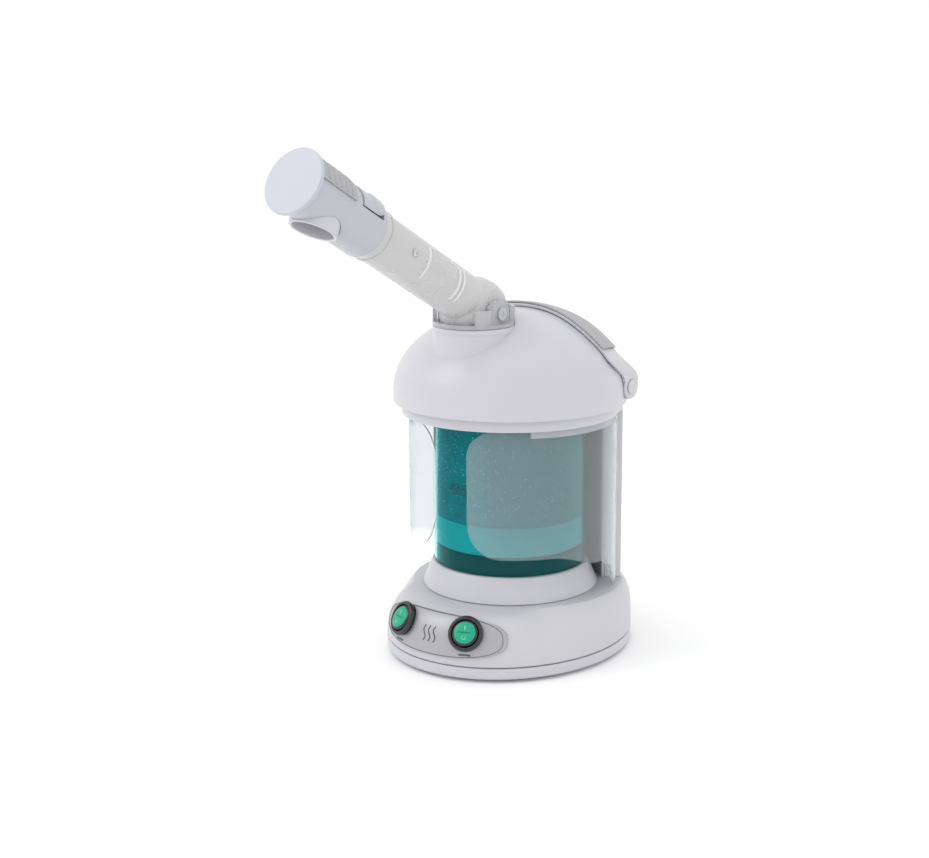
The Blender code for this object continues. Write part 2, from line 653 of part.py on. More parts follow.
def make_ring(looks, root):
    """Ring that carries the dome, with a skirt round its edge."""
    under = RING_TOP_Z - RING_PLATE
    loops = []
    for index in range(FULL_TURN):
        angle = 360 * index / FULL_TURN
        edge = ring_radius(angle)
        outline = [(edge, RING_BOTTOM_Z), (edge, RING_TOP_Z - 1 * MM), (edge - 1 * MM, RING_TOP_Z),
                   (RING_HOLE, RING_TOP_Z), (RING_HOLE, under), (edge - RING_SKIRT, under),
                   (edge - RING_SKIRT, RING_BOTTOM_Z)]
        loops.append([around(r, angle, z) for r, z in outline])
    loft("top_ring", loops, looks["white"], root, closed=True)


def make_hinge(looks, root):
    """Bracket behind the ring and the pin that the dome turns on."""
    inner_y = COLUMN_RADIUS + GAP
    low, high = RING_BOTTOM_Z - 6 * MM, RING_TOP_Z - 1.6 * MM
    round_part = arc((HINGE_Y, HINGE_Z), KNUCKLE_RADIUS, 0, 200, 9)
    outline = [(inner_y, low), (HINGE_Y - 1 * MM, low), (HINGE_Y + KNUCKLE_RADIUS, low + 6 * MM), *round_part,
               (inner_y, high)]
    bracket = prism("hinge_bracket", outline, KNUCKLE_HALF, looks["white"], root)
    bore = rod("guide_hinge_bore", HINGE_PIN_RADIUS + GAP, -30 * MM, 30 * MM, None, root, 16,
               location=(0, HINGE_Y, HINGE_Z), rotation=(0, math.pi / 2, 0))
    combine(bracket, bore)
    reach = KNUCKLE_HALF + GAP + LUG_WIDTH
    rod("hinge_pin", HINGE_PIN_RADIUS, -reach, reach, looks["steel"], root, 16,
        location=(0, HINGE_Y, HINGE_Z), rotation=(0, math.pi / 2, 0))
    return bore


def dome_outline(inset):
    """Half outline of the dome, inset by its wall for the inside."""
    radius, rise = DOME_RADIUS - inset, DOME_RISE - inset
    arch = [(radius * math.cos(math.radians(a)), DOME_SPRING_Z + rise * math.sin(math.radians(a)))
            for a in spread(0, 90, 11)]
    arch[-1] = (0.0, DOME_SPRING_Z + rise)
    return arch


def make_dome(looks, lid, hinge_bore):
    """Hinged dome with the arm's boss, the hinge lugs and the handle's bosses; hollow inside."""
    outer = [(0, DOME_BOTTOM_Z), (DOME_RADIUS, DOME_BOTTOM_Z), *dome_outline(0)]
    dome = turned("dome_shell", outer, looks["white"], lid, FULL_TURN)
    boss = rod("guide_boss", BOSS_RADIUS, DOME_SPRING_Z, BOSS_TOP_Z, None, lid, 24, location=(0, BOSS_Y, 0))
    combine(dome, boss, "UNION")
    for side in (-1, 1):
        flat = rod("guide_handle_flat", HANDLE_FLAT_RADIUS, HANDLE_BOSS_X, HANDLE_BOSS_X + 10 * MM, None, lid, 22,
                   location=(0, HANDLE_Y, HANDLE_Z), rotation=(0, side * math.pi / 2, 0))
        combine(dome, flat)
        centre = side * (KNUCKLE_HALF + GAP + LUG_WIDTH / 2)
        web = [(DOME_RADIUS - 8 * MM, DOME_BOTTOM_Z + 0.6 * MM), (HINGE_Y, DOME_BOTTOM_Z + 0.6 * MM)]
        lug_round = arc((HINGE_Y, HINGE_Z), KNUCKLE_RADIUS, -30, 110, 8)
        lug = prism("guide_lug", [*web, *lug_round, (DOME_RADIUS - 8 * MM, HINGE_Z + 9 * MM)], LUG_WIDTH / 2, None,
                    lid, centre_x=centre)
        combine(dome, lug, "UNION")
    inner = [(0, DOME_BOTTOM_Z - 5 * MM), (DOME_RADIUS - DOME_WALL, DOME_BOTTOM_Z - 5 * MM),
             *dome_outline(DOME_WALL)]
    hollow = turned("guide_hollow", inner, None, lid, FULL_TURN)
    seat_wall = rod("guide_seat_wall", BOSS_RADIUS + DOME_WALL, BOSS_TOP_Z - 6 * MM, BOSS_TOP_Z + 10 * MM, None, lid,
                    30, location=(0, BOSS_Y, 0))
    combine(hollow, seat_wall)
    combine(dome, hollow)
    seat = rod("guide_seat", BOSS_RADIUS + GAP, BOSS_TOP_Z - SEAT_DROP, BOSS_TOP_Z + 20 * MM, None, lid, 30,
               location=(0, BOSS_Y, 0))
    combine(dome, seat)
    boss_hollow = rod("guide_boss_hollow", BOSS_RADIUS - BOSS_WALL, DOME_SPRING_Z - 6 * MM, BOSS_TOP_Z - BOSS_LIP,
                      None, lid, 24, location=(0, BOSS_Y, 0))
    combine(dome, boss_hollow)
    mouth = rod("guide_mouth", SPIGOT_RADIUS + GAP, BOSS_TOP_Z - 8 * MM, BOSS_TOP_Z + 4 * MM, None, lid, 24,
                location=(0, BOSS_Y, 0))
    combine(dome, mouth)
    combine(dome, hinge_bore)
    for side in (-1, 1):
        pad = rod("guide_handle_boss", HANDLE_BOSS_RADIUS, HANDLE_BOSS_X - 12 * MM, HANDLE_BOSS_X - GAP / 10, None,
                  lid, 16, location=(0, HANDLE_Y, HANDLE_Z), rotation=(0, side * math.pi / 2, 0))
        combine(dome, pad, "UNION")
        bore = rod("guide_handle_bore", HANDLE_PIN_RADIUS + GAP, 55 * MM, HANDLE_BOSS_X + 3 * MM, None, lid, 12,
                   location=(0, HANDLE_Y, HANDLE_Z), rotation=(0, side * math.pi / 2, 0))
        combine(dome, bore)
    weld(dome)


def make_steam_path(looks, lid):
    """Cover under the dome, the duct to the arm, and the ozone lamp in its holder."""
    foot = DOME_BOTTOM_Z + GAP
    top = foot + COVER_PAN
    edge = DOME_RADIUS - DOME_WALL - GAP
    cover = turned("steam_cover", [(0, foot), (edge, foot), (edge, top), (0, top)], looks["white"], lid, FULL_TURN)
    opening = rod("guide_duct_opening", DUCT_RADIUS - DUCT_WALL, foot - 2 * MM, top + 2 * MM, None, lid, 16,
                  location=(0, BOSS_Y, 0))
    combine(cover, opening)
    duct_foot, duct_top = top + GAP, PIVOT_Z - HEAD_RADIUS - 1.2 * MM
    bore = DUCT_RADIUS - DUCT_WALL
    duct = [(DUCT_RADIUS + 4 * MM, duct_foot), (DUCT_RADIUS + 4 * MM, duct_foot + 2 * MM),
            (DUCT_RADIUS, duct_foot + 2 * MM), (DUCT_RADIUS, duct_top), (bore, duct_top), (bore, duct_foot)]
    turned("steam_duct", duct, looks["grey"], lid, location=(0, BOSS_Y, 0))
    holder_top = duct_foot + 5 * MM
    block("lamp_holder", (52 * MM, 12 * MM, 5 * MM), looks["grey"], lid,
          location=(0, LAMP_Y, duct_foot + 2.5 * MM))
    rod("ozone_lamp", LAMP_RADIUS, -22 * MM, 22 * MM, looks["glass"], lid, 12,
        location=(0, LAMP_Y, holder_top + GAP + LAMP_RADIUS), rotation=(0, math.pi / 2, 0))


def strap_front(beta):
    """Y of the handle's front edge, by angle down from the top."""
    return smooth_between(beta, [(0, 16 * MM), (45, 9 * MM), (62, 11 * MM), (80, HANDLE_Y - HANDLE_END_RADIUS)])


def strap_width(beta):
    """Width of the handle's strap."""
    return smooth_between(beta, [(0, 20 * MM), (45, 21 * MM), (62, 22.5 * MM), (80, 2 * HANDLE_END_RADIUS)])


def strap_point(beta, y, lift, plane):
    """Point over the dome at an angle down from the top, easing to an upright plane beside the end disc."""
    radius = DOME_RADIUS + lift
    flank = math.sqrt(radius ** 2 - y ** 2)
    turn = math.radians(beta)
    x = flank * math.sin(turn)
    ease = smooth_between(abs(beta), [(STRAP_EASE_FROM, 0.0), (STRAP_EASE_TO, 1.0)])
    z = DOME_SPRING_Z + (DOME_RISE + lift) * flank / radius * math.cos(turn)
    return Vector((x + (math.copysign(plane, beta) - x) * ease, y, z))


def strap_loop(beta, low, high):
    """Cross-section of the strap between two lifts, its long sides divided so that it follows the dome."""
    front, width = strap_front(abs(beta)), strap_width(abs(beta))
    inside = HANDLE_BOSS_X + GAP + STRAP_INSET
    outside = HANDLE_END_X - STRAP_INSET
    edge = 0.8 * MM
    under = [strap_point(beta, y, low, inside) for y in spread(front, front + width, 4)]
    over = [strap_point(beta, y, high, outside) for y in spread(front + width - edge, front + edge, 4)]
    rear_corner = strap_point(beta, front + width, high - edge, outside - edge)
    front_corner = strap_point(beta, front, high - edge, outside - edge)
    back = Vector((0, -HANDLE_Y, -HANDLE_Z))
    return [point + back for point in (*under, rear_corner, *over, front_corner)]


def make_handle(looks, swing):
    """Carry handle over the dome: a strap between two end discs, and its soft grip."""
    low, high = HANDLE_LIFT, HANDLE_LIFT + HANDLE_THICKNESS
    strap = loft("carry_handle", [strap_loop(b, low, high) for b in spread(-STRAP_END, STRAP_END, 19)],
                 looks["white"], swing)
    inner_x = HANDLE_BOSS_X + GAP
    for side in (-1, 1):
        disc = rod("guide_end_disc", HANDLE_END_RADIUS, inner_x, HANDLE_END_X, None, swing, 18,
                   rotation=(0, side * math.pi / 2, 0))
        combine(strap, disc, "UNION")
    for side in (-1, 1):
        hole = rod("guide_pivot_hole", HANDLE_PIN_RADIUS + GAP, inner_x - 3 * MM, HANDLE_END_X + 3 * MM, None, swing,
                   12, rotation=(0, side * math.pi / 2, 0))
        combine(strap, hole)
    weld(strap)
    grip_low = high + GAP
    loft("handle_grip", [strap_loop(b, grip_low, grip_low + GRIP_THICKNESS)
                         for b in spread(-GRIP_HALF_ANGLE, GRIP_HALF_ANGLE, 15)], looks["grey"], swing)


def make_handle_pivots(looks, lid):
    """Two stub pins that hold the handle's ends to the dome."""
    face = HANDLE_END_X + GAP
    pin = [(0, 60 * MM), (HANDLE_PIN_RADIUS, 60 * MM), (HANDLE_PIN_RADIUS, face),
           (HANDLE_PIN_HEAD, face), (HANDLE_PIN_HEAD, face + HANDLE_HEAD_THICKNESS), (0, face + HANDLE_HEAD_THICKNESS)]
    for side, hand in ((-1, "left"), (1, "right")):
        turned(f"handle_pivot_{hand}", pin, looks["white"], lid, 12, location=(0, HANDLE_Y, HANDLE_Z),
               rotation=(0, side * math.pi / 2, 0))


def make_collar(looks, swivel):
    """Turning collar on the boss: flange, spigot, two ears for the elbow, and the ring that retains it."""
    foot = BOSS_TOP_Z + GAP
    bore = BOSS_RADIUS - COLLAR_WALL
    neck = SPIGOT_RADIUS - SPIGOT_WALL
    outline = [(BOSS_RADIUS, foot), (BOSS_RADIUS, COLLAR_TOP_Z), (bore, COLLAR_TOP_Z), (bore, foot + COLLAR_FLANGE),
               (neck, foot + COLLAR_FLANGE), (neck, SPIGOT_BOTTOM_Z), (SPIGOT_RADIUS, SPIGOT_BOTTOM_Z),
               (SPIGOT_RADIUS, foot)]
    collar = turned("swivel_collar", [(r, z - PIVOT_Z) for r, z in outline], looks["frosted"], swivel, 24)
    inner_x = HEAD_HALF_WIDTH + 0.6 * MM
    floor = foot + COLLAR_FLANGE - PIVOT_Z
    for side in (-1, 1):
        middle = side * (inner_x + EAR_OUTER_X) / 2
        ear_outline = [(EAR_RADIUS, floor - 1 * MM), *arc((0, 0), EAR_RADIUS, 0, 180, 13),
                       (-EAR_RADIUS, floor - 1 * MM)]
        ear = prism("guide_ear", ear_outline, (EAR_OUTER_X - inner_x) / 2, None, swivel, centre_x=middle)
        combine(collar, ear, "UNION")
        flat = block("guide_flat", (20 * MM, 60 * MM, 30 * MM), None, swivel,
                     location=(side * (EAR_OUTER_X + 10 * MM), 0, floor + 15 * MM))
        combine(collar, flat)
    notch_depth = BOSS_RADIUS + 10 * MM
    notch = block("guide_notch", (2 * inner_x, notch_depth, 30 * MM), None, swivel,
                  location=(0, -6 * MM - notch_depth / 2, floor + 15 * MM + 0.4 * MM))
    combine(collar, notch)
    pin_hole = rod("guide_pin_hole", PIN_RADIUS + GAP, -40 * MM, 40 * MM, None, swivel, 20,
                   rotation=(0, math.pi / 2, 0))
    combine(collar, pin_hole)
    ring_top = BOSS_TOP_Z - BOSS_LIP - GAP - PIVOT_Z
    retaining = [(SPIGOT_RADIUS + GAP, ring_top - 3 * MM), (BOSS_RADIUS - BOSS_WALL - GAP, ring_top - 3 * MM),
                 (BOSS_RADIUS - BOSS_WALL - GAP, ring_top), (SPIGOT_RADIUS + GAP, ring_top)]
    turned("collar_ring", retaining, looks["grey"], swivel, 24)
    shaft_end = EAR_OUTER_X + GAP
    pin = [(0, -EAR_OUTER_X), (PIN_RADIUS, -EAR_OUTER_X), (PIN_RADIUS, shaft_end), (PIN_HEAD, shaft_end),
           (PIN_HEAD, shaft_end + 0.9 * MM), (PIN_HEAD - 0.8 * MM, shaft_end + 1.5 * MM), (0, shaft_end + 1.5 * MM)]
    turned("elbow_pin", pin, looks["white"], swivel, 12, rotation=(0, math.pi / 2, 0))
    cap = [(0, shaft_end), (PIN_HEAD, shaft_end), (PIN_HEAD, shaft_end + 0.9 * MM),
           (PIN_HEAD - 0.8 * MM, shaft_end + 1.5 * MM), (0, shaft_end + 1.5 * MM)]
    turned("pin_cap", cap, looks["white"], swivel, 12, rotation=(0, -math.pi / 2, 0))
    return pin_hole


def ball_outline(radius, half_width, count=9):
    """Side outline of a ball cut flat at both ends, turned about its short axis."""
    limit = math.degrees(math.asin(half_width / radius))
    return [(radius * math.cos(math.radians(a)), radius * math.sin(math.radians(a)))
            for a in spread(-limit, limit, count)]


def make_elbow(looks, tilt, tube):
    """Elbow head and arm tube in one moulding; a slot under the head lets the steam in."""
    def ball(name, radius, half_width, look):
        outline = [(0, -half_width), *ball_outline(radius, half_width), (0, half_width)]
        return turned(name, outline, look, tilt, BALL_TURN, rotation=(0, math.pi / 2, 0))

    arm = ball("elbow_arm", HEAD_RADIUS, HEAD_HALF_WIDTH, looks["frosted"])
    combine(arm, rod("guide_tube", TUBE_RADIUS, 2 * MM, TUBE_LENGTH, None, tube), "UNION")
    combine(arm, ball("guide_head_hollow", HEAD_RADIUS - HEAD_WALL, HEAD_HALF_WIDTH - HEAD_WALL, None))
    combine(arm, rod("guide_bore", TUBE_RADIUS - TUBE_WALL, 0, TUBE_LENGTH + 10 * MM, None, tube))
    slot = prism("guide_slot", [(0, 0), *arc((0, 0), HEAD_RADIUS + 6 * MM, -184, -96, 12)],
                 SLOT_HALF_WIDTH, None, tilt)
    combine(arm, slot)
    screw_hole = rod("guide_screw_hole", SCREW_SHANK + GAP, 0, TUBE_RADIUS + 4 * MM, None, tube, 12,
                     location=(0, 0, ARM_SCREW_AT), rotation=(0, math.pi / 2, 0))
    combine(arm, screw_hole)
    face = TUBE_RADIUS + 0.2 * MM
    screw = [(0, TUBE_RADIUS - TUBE_WALL + GAP), (SCREW_SHANK, TUBE_RADIUS - TUBE_WALL + GAP), (SCREW_SHANK, face),
             (2.4 * MM, face), (2.4 * MM, face + 0.6 * MM), (1.6 * MM, face + 1.1 * MM), (0, face + 1.1 * MM)]
    turned("arm_screw", screw, looks["steel"], tube, 10, location=(0, 0, ARM_SCREW_AT),
           rotation=(0, math.pi / 2, 0))
    return arm


def make_slide(looks, slide):
    """Inner tube that slides in the arm, with its cuff and a seal."""
    flange_at = NOZZLE_START + NOZZLE_PLATE + GAP
    end = flange_at + 2.0 * MM
    bore = SLIDE_RADIUS - SLIDE_WALL
    tube = [(bore, SLIDE_START), (SLIDE_RADIUS, SLIDE_START), (SLIDE_RADIUS, flange_at),
            (SLIDE_RADIUS + 1.1 * MM, flange_at), (SLIDE_RADIUS + 1.1 * MM, end), (bore, end)]
    turned("inner_tube", tube, looks["frosted"], slide)
    seal_to = SLIDE_START - GAP
    seal = [(bore, seal_to - SEAL_LENGTH), (TUBE_RADIUS - TUBE_WALL - GAP, seal_to - SEAL_LENGTH),
            (TUBE_RADIUS - TUBE_WALL - GAP, seal_to), (bore, seal_to)]
    turned("tube_seal", seal, looks["rubber"], slide)
    inside = SLIDE_RADIUS + GAP
    start = TUBE_LENGTH + GAP
    finish_at = start + CUFF_LENGTH
    cuff = [(inside, start), (CUFF_RADIUS - 0.6 * MM, start), (CUFF_RADIUS, start + 0.6 * MM),
            (CUFF_RADIUS, finish_at - 0.6 * MM), (CUFF_RADIUS - 0.6 * MM, finish_at), (inside, finish_at)]
    turned("arm_cuff", cuff, looks["frosted"], slide)


def make_nozzle(looks, spin, side_frame):
    """Nozzle drum with end cap, steam outlet, soft grip and the window of its catch."""
    bore = NOZZLE_RADIUS - NOZZLE_WALL
    plate_end = NOZZLE_START + NOZZLE_PLATE
    drum = [(SLIDE_RADIUS + GAP, NOZZLE_START), (NOZZLE_RADIUS - 1 * MM, NOZZLE_START),
            (NOZZLE_RADIUS, NOZZLE_START + 1 * MM), (NOZZLE_RADIUS, NOZZLE_END), (bore, NOZZLE_END),
            (bore, plate_end), (SLIDE_RADIUS + GAP, plate_end)]
    body = turned("nozzle_body", drum, looks["white"], spin, 28)
    outlet_hole = rod("guide_outlet_hole", OUTLET_RADIUS + GAP, 4 * MM, 30 * MM, None, spin, 20,
                      location=(0, 0, OUTLET_AT), rotation=(math.pi / 2, 0, 0))
    combine(body, outlet_hole)
    window_from, window_to = CATCH_FROM - 0.8 * MM, CATCH_TO + 0.5 * MM
    window = block("guide_window", (2 * CATCH_HALF_WIDTH + 1 * MM, 20 * MM, window_to - window_from), None, side_frame,
                   location=(0, 18 * MM, (window_from + window_to) / 2))
    combine(body, window)
    lip = [(OUTLET_RADIUS - OUTLET_WALL, OUTLET_INNER), (OUTLET_RADIUS, OUTLET_INNER),
           (OUTLET_RADIUS, OUTLET_DROP - 0.8 * MM), (OUTLET_RADIUS - 0.8 * MM, OUTLET_DROP),
           (OUTLET_RADIUS - OUTLET_WALL, OUTLET_DROP)]
    turned("outlet_ring", lip, looks["white"], spin, 20, location=(0, 0, OUTLET_AT), rotation=(math.pi / 2, 0, 0))
    start = NOZZLE_END + GAP
    plug = bore - GAP
    cap = [(0, start - 3.5 * MM), (plug, start - 3.5 * MM), (plug, start), (CAP_RADIUS - CAP_BEVEL, start),
           (CAP_RADIUS, start + CAP_BEVEL), (CAP_RADIUS, start + CAP_THICKNESS - CAP_BEVEL),
           (CAP_LIP, start + CAP_THICKNESS), (0, start + CAP_THICKNESS)]
    turned("end_cap", cap, looks["white"], spin, 28)
    rows = []
    low = NOZZLE_RADIUS + GAP
    high = low + GRIP_PAD
    for z in (GRIP_FROM, NOZZLE_END - 1 * MM):
        angles = spread(90 - GRIP_HALF_SPAN, 90 + GRIP_HALF_SPAN, 9)
        under = [Vector((low * math.cos(math.radians(a)), low * math.sin(math.radians(a)), z)) for a in angles]
        over = [Vector((high * math.cos(math.radians(a)), high * math.sin(math.radians(a)), z))
                for a in reversed(angles)]
        rows.append(under + over)
    loft("nozzle_grip", rows, looks["grey"], side_frame)


def make_catch(looks, press):
    """Sprung tongue in the nozzle's window; its root is at the local origin."""
    root_y = CATCH_ROOT_Y
    rows = []
    length = CATCH_TO - CATCH_FROM
    for along in spread(0, length, 8):
        share = along / length
        half = CATCH_HALF_WIDTH * (1 if share < 0.6 else math.sqrt(max(1 - ((share - 0.6) / 0.55) ** 2, 0.05)))
        top = CATCH_TOP_Y + (0.8 * MM if share > 0.55 else 0.0)
        low = CATCH_LOW_Y
        xs = spread(-half, half, 5)
        under = [Vector((x, low - root_y, -along)) for x in xs]
        over = [Vector((x, math.sqrt(top ** 2 - x ** 2) - root_y, -along)) for x in reversed(xs)]
        rows.append(under + over)
    loft("nozzle_catch", rows, looks["white"], press)


def build():
    """The whole steamer."""
    for old in list(bpy.data.objects):
        bpy.data.objects.remove(old, do_unlink=True)
    looks = make_looks()
    root = empty("steamer_root", None, location=(0, MODEL_SHIFT, 0))
    shell = make_base_shell(looks, root)
    make_bottom_cover(looks, root)
    make_switches(looks, root, shell)
    make_jar(looks, root)
    make_electrics(looks, root)
    make_shields(looks, root)
    make_column(looks, root)
    make_ring(looks, root)
    hinge_bore = make_hinge(looks, root)

    lid = empty("lid_frame", root)
    make_dome(looks, lid, hinge_bore)
    make_steam_path(looks, lid)
    swing = empty("handle_frame", lid, location=(0, HANDLE_Y, HANDLE_Z))
    make_handle(looks, swing)
    make_handle_pivots(looks, lid)

    swivel = empty("swivel_frame", lid, location=(0, BOSS_Y, PIVOT_Z))
    pin_hole = make_collar(looks, swivel)
    tilt = empty("tilt_frame", swivel, rotation=(math.radians(90 - ARM_RISE), 0, 0))
    tube = empty("tube_frame", tilt, location=(0, TUBE_OFFSET, 0))
    arm = make_elbow(looks, tilt, tube)
    weld(combine(arm, pin_hole))
    make_slide(looks, tube)
    side_frame = empty("grip_frame", tube, rotation=(0, 0, math.radians(GRIP_TURN)))
    make_nozzle(looks, tube, side_frame)
    press = empty("catch_frame", side_frame, location=(0, CATCH_ROOT_Y, CATCH_TO))
    make_catch(looks, press)


build()
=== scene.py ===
"""Looks of a table-top facial steamer, built round its fixed frame of solids.

Every class below is one sub-assembly.  It keeps its sizes as dataclass fields, builds its meshes in the
frame's own metres and hands each finished piece to the body that carries it.
"""

import json
import logging
import math
from dataclasses import dataclass, field
from enum import Enum
from typing import Iterable, Sequence

import bmesh
import bpy
from mathutils import Matrix, Vector

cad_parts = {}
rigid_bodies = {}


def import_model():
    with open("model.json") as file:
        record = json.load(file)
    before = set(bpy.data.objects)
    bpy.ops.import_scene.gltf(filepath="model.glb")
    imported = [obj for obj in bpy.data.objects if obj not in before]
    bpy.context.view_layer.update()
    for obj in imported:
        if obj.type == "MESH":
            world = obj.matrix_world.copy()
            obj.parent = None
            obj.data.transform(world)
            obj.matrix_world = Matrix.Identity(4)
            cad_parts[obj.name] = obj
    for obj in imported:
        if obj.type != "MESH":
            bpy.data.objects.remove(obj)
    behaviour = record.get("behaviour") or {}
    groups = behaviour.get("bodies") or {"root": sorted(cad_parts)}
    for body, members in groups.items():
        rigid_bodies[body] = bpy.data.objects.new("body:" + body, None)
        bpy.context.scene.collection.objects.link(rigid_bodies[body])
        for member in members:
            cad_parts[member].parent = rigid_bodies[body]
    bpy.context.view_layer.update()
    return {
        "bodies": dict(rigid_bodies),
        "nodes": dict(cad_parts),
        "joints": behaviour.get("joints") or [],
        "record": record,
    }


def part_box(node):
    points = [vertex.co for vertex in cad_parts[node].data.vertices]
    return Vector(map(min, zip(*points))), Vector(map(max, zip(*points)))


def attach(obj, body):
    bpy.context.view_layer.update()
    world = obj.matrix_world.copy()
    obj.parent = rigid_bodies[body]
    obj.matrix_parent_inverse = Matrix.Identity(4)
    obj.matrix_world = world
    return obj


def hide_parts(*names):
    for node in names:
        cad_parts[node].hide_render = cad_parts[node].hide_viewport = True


LOG = logging.getLogger("steamer")
MM = 0.001
GAP = 0.3 * MM

Outline = list[tuple[float, float]]
Loop = list[Vector]


class Body(Enum):
    """Rigid bodies of the frame that pieces ride on."""

    BASE = "base"
    LID = "lid"
    HANDLE = "handle"
    COLLAR = "collar"
    ARM = "arm"
    SLIDE = "slide"
    NOZZLE = "nozzle"
    CATCH = "catch"
    STEAM_BUTTON = "steam_button"
    OZONE_BUTTON = "ozone_button"


class Cut(Enum):
    """Ways of combining two closed meshes."""

    REMOVE = "DIFFERENCE"
    JOIN = "UNION"


# ------------------------------------------------------------------ finishes

def new_group(name: str, numbers: dict[str, float], colours: dict[str, tuple], outputs: dict[str, str]):
    """Start a shader node group.

    Args:
        name: Name of the group.
        numbers: Float inputs and their defaults.
        colours: Colour inputs and their defaults.
        outputs: Output names and socket types.

    Returns:
        The tree with its input and output nodes.
    """
    tree = bpy.data.node_groups.new(name, "ShaderNodeTree")
    for key, value in colours.items():
        tree.interface.new_socket(key, in_out="INPUT", socket_type="NodeSocketColor").default_value = value
    for key, value in numbers.items():
        tree.interface.new_socket(key, in_out="INPUT", socket_type="NodeSocketFloat").default_value = value
    for key, kind in outputs.items():
        tree.interface.new_socket(key, in_out="OUTPUT", socket_type=kind)
    return tree, tree.nodes.new("NodeGroupInput"), tree.nodes.new("NodeGroupOutput")


def grain_group() -> bpy.types.NodeTree:
    """Fine moulding grain: colour drift, roughness drift and a small bump.

    Returns:
        The shared group.
    """
    tree, given, made = new_group(
        "moulded_grain",
        {"Scale": 900.0, "Depth": 0.2, "Roughness": 0.4, "Drift": 0.03},
        {"Colour": (0.8, 0.8, 0.8, 1.0)},
        {"Colour": "NodeSocketColor", "Roughness": "NodeSocketFloat", "Normal": "NodeSocketVector"})
    nodes, links = tree.nodes, tree.links
    place = nodes.new("ShaderNodeTexCoord")
    broad = nodes.new("ShaderNodeTexNoise")
    broad.inputs["Scale"].default_value = 35.0
    broad.inputs["Detail"].default_value = 3.0
    fine = nodes.new("ShaderNodeTexNoise")
    fine.inputs["Detail"].default_value = 2.0
    links.new(place.outputs["Object"], broad.inputs["Vector"])
    links.new(place.outputs["Object"], fine.inputs["Vector"])
    links.new(given.outputs["Scale"], fine.inputs["Scale"])
    centred = nodes.new("ShaderNodeMath")
    centred.operation = "SUBTRACT"
    centred.inputs[1].default_value = 0.5
    links.new(broad.outputs["Fac"], centred.inputs[0])
    shade = nodes.new("ShaderNodeMath")
    shade.operation = "MULTIPLY_ADD"
    shade.inputs[2].default_value = 1.0
    links.new(centred.outputs[0], shade.inputs[0])
    links.new(given.outputs["Drift"], shade.inputs[1])
    tone = nodes.new("ShaderNodeVectorMath")
    tone.operation = "SCALE"
    links.new(given.outputs["Colour"], tone.inputs[0])
    links.new(shade.outputs[0], tone.inputs["Scale"])
    rough = nodes.new("ShaderNodeMath")
    rough.operation = "MULTIPLY_ADD"
    rough.inputs[1].default_value = 0.18
    rough.use_clamp = True
    links.new(centred.outputs[0], rough.inputs[0])
    links.new(given.outputs["Roughness"], rough.inputs[2])
    bump = nodes.new("ShaderNodeBump")
    bump.inputs["Distance"].default_value = 0.0001
    links.new(given.outputs["Depth"], bump.inputs["Strength"])
    links.new(fine.outputs["Fac"], bump.inputs["Height"])
    links.new(tone.outputs[0], made.inputs["Colour"])
    links.new(rough.outputs[0], made.inputs["Roughness"])
    links.new(bump.outputs["Normal"], made.inputs["Normal"])
    return tree


def dust_group() -> bpy.types.NodeTree:
    """A breath of dust and handling wear that greys random patches a little.

    Returns:
        The shared group.
    """
    tree, given, made = new_group(
        "handling_wear", {"Amount": 0.1}, {"Colour": (0.8, 0.8, 0.8, 1.0), "Worn": (0.7, 0.7, 0.72, 1.0)},
        {"Colour": "NodeSocketColor"})
    nodes, links = tree.nodes, tree.links
    place = nodes.new("ShaderNodeTexCoord")
    cloud = nodes.new("ShaderNodeTexNoise")
    cloud.inputs["Scale"].default_value = 14.0
    cloud.inputs["Detail"].default_value = 6.0
    links.new(place.outputs["Object"], cloud.inputs["Vector"])
    ramp = nodes.new("ShaderNodeMapRange")
    ramp.inputs["From Min"].default_value = 0.45
    ramp.inputs["From Max"].default_value = 0.75
    links.new(cloud.outputs["Fac"], ramp.inputs["Value"])
    share = nodes.new("ShaderNodeMath")
    share.operation = "MULTIPLY"
    links.new(ramp.outputs[0], share.inputs[0])
    links.new(given.outputs["Amount"], share.inputs[1])
    blend = nodes.new("ShaderNodeMix")
    blend.data_type = "RGBA"
    links.new(share.outputs[0], blend.inputs[0])
    links.new(given.outputs["Colour"], blend.inputs[6])
    links.new(given.outputs["Worn"], blend.inputs[7])
    links.new(blend.outputs[2], made.inputs["Colour"])
    return tree


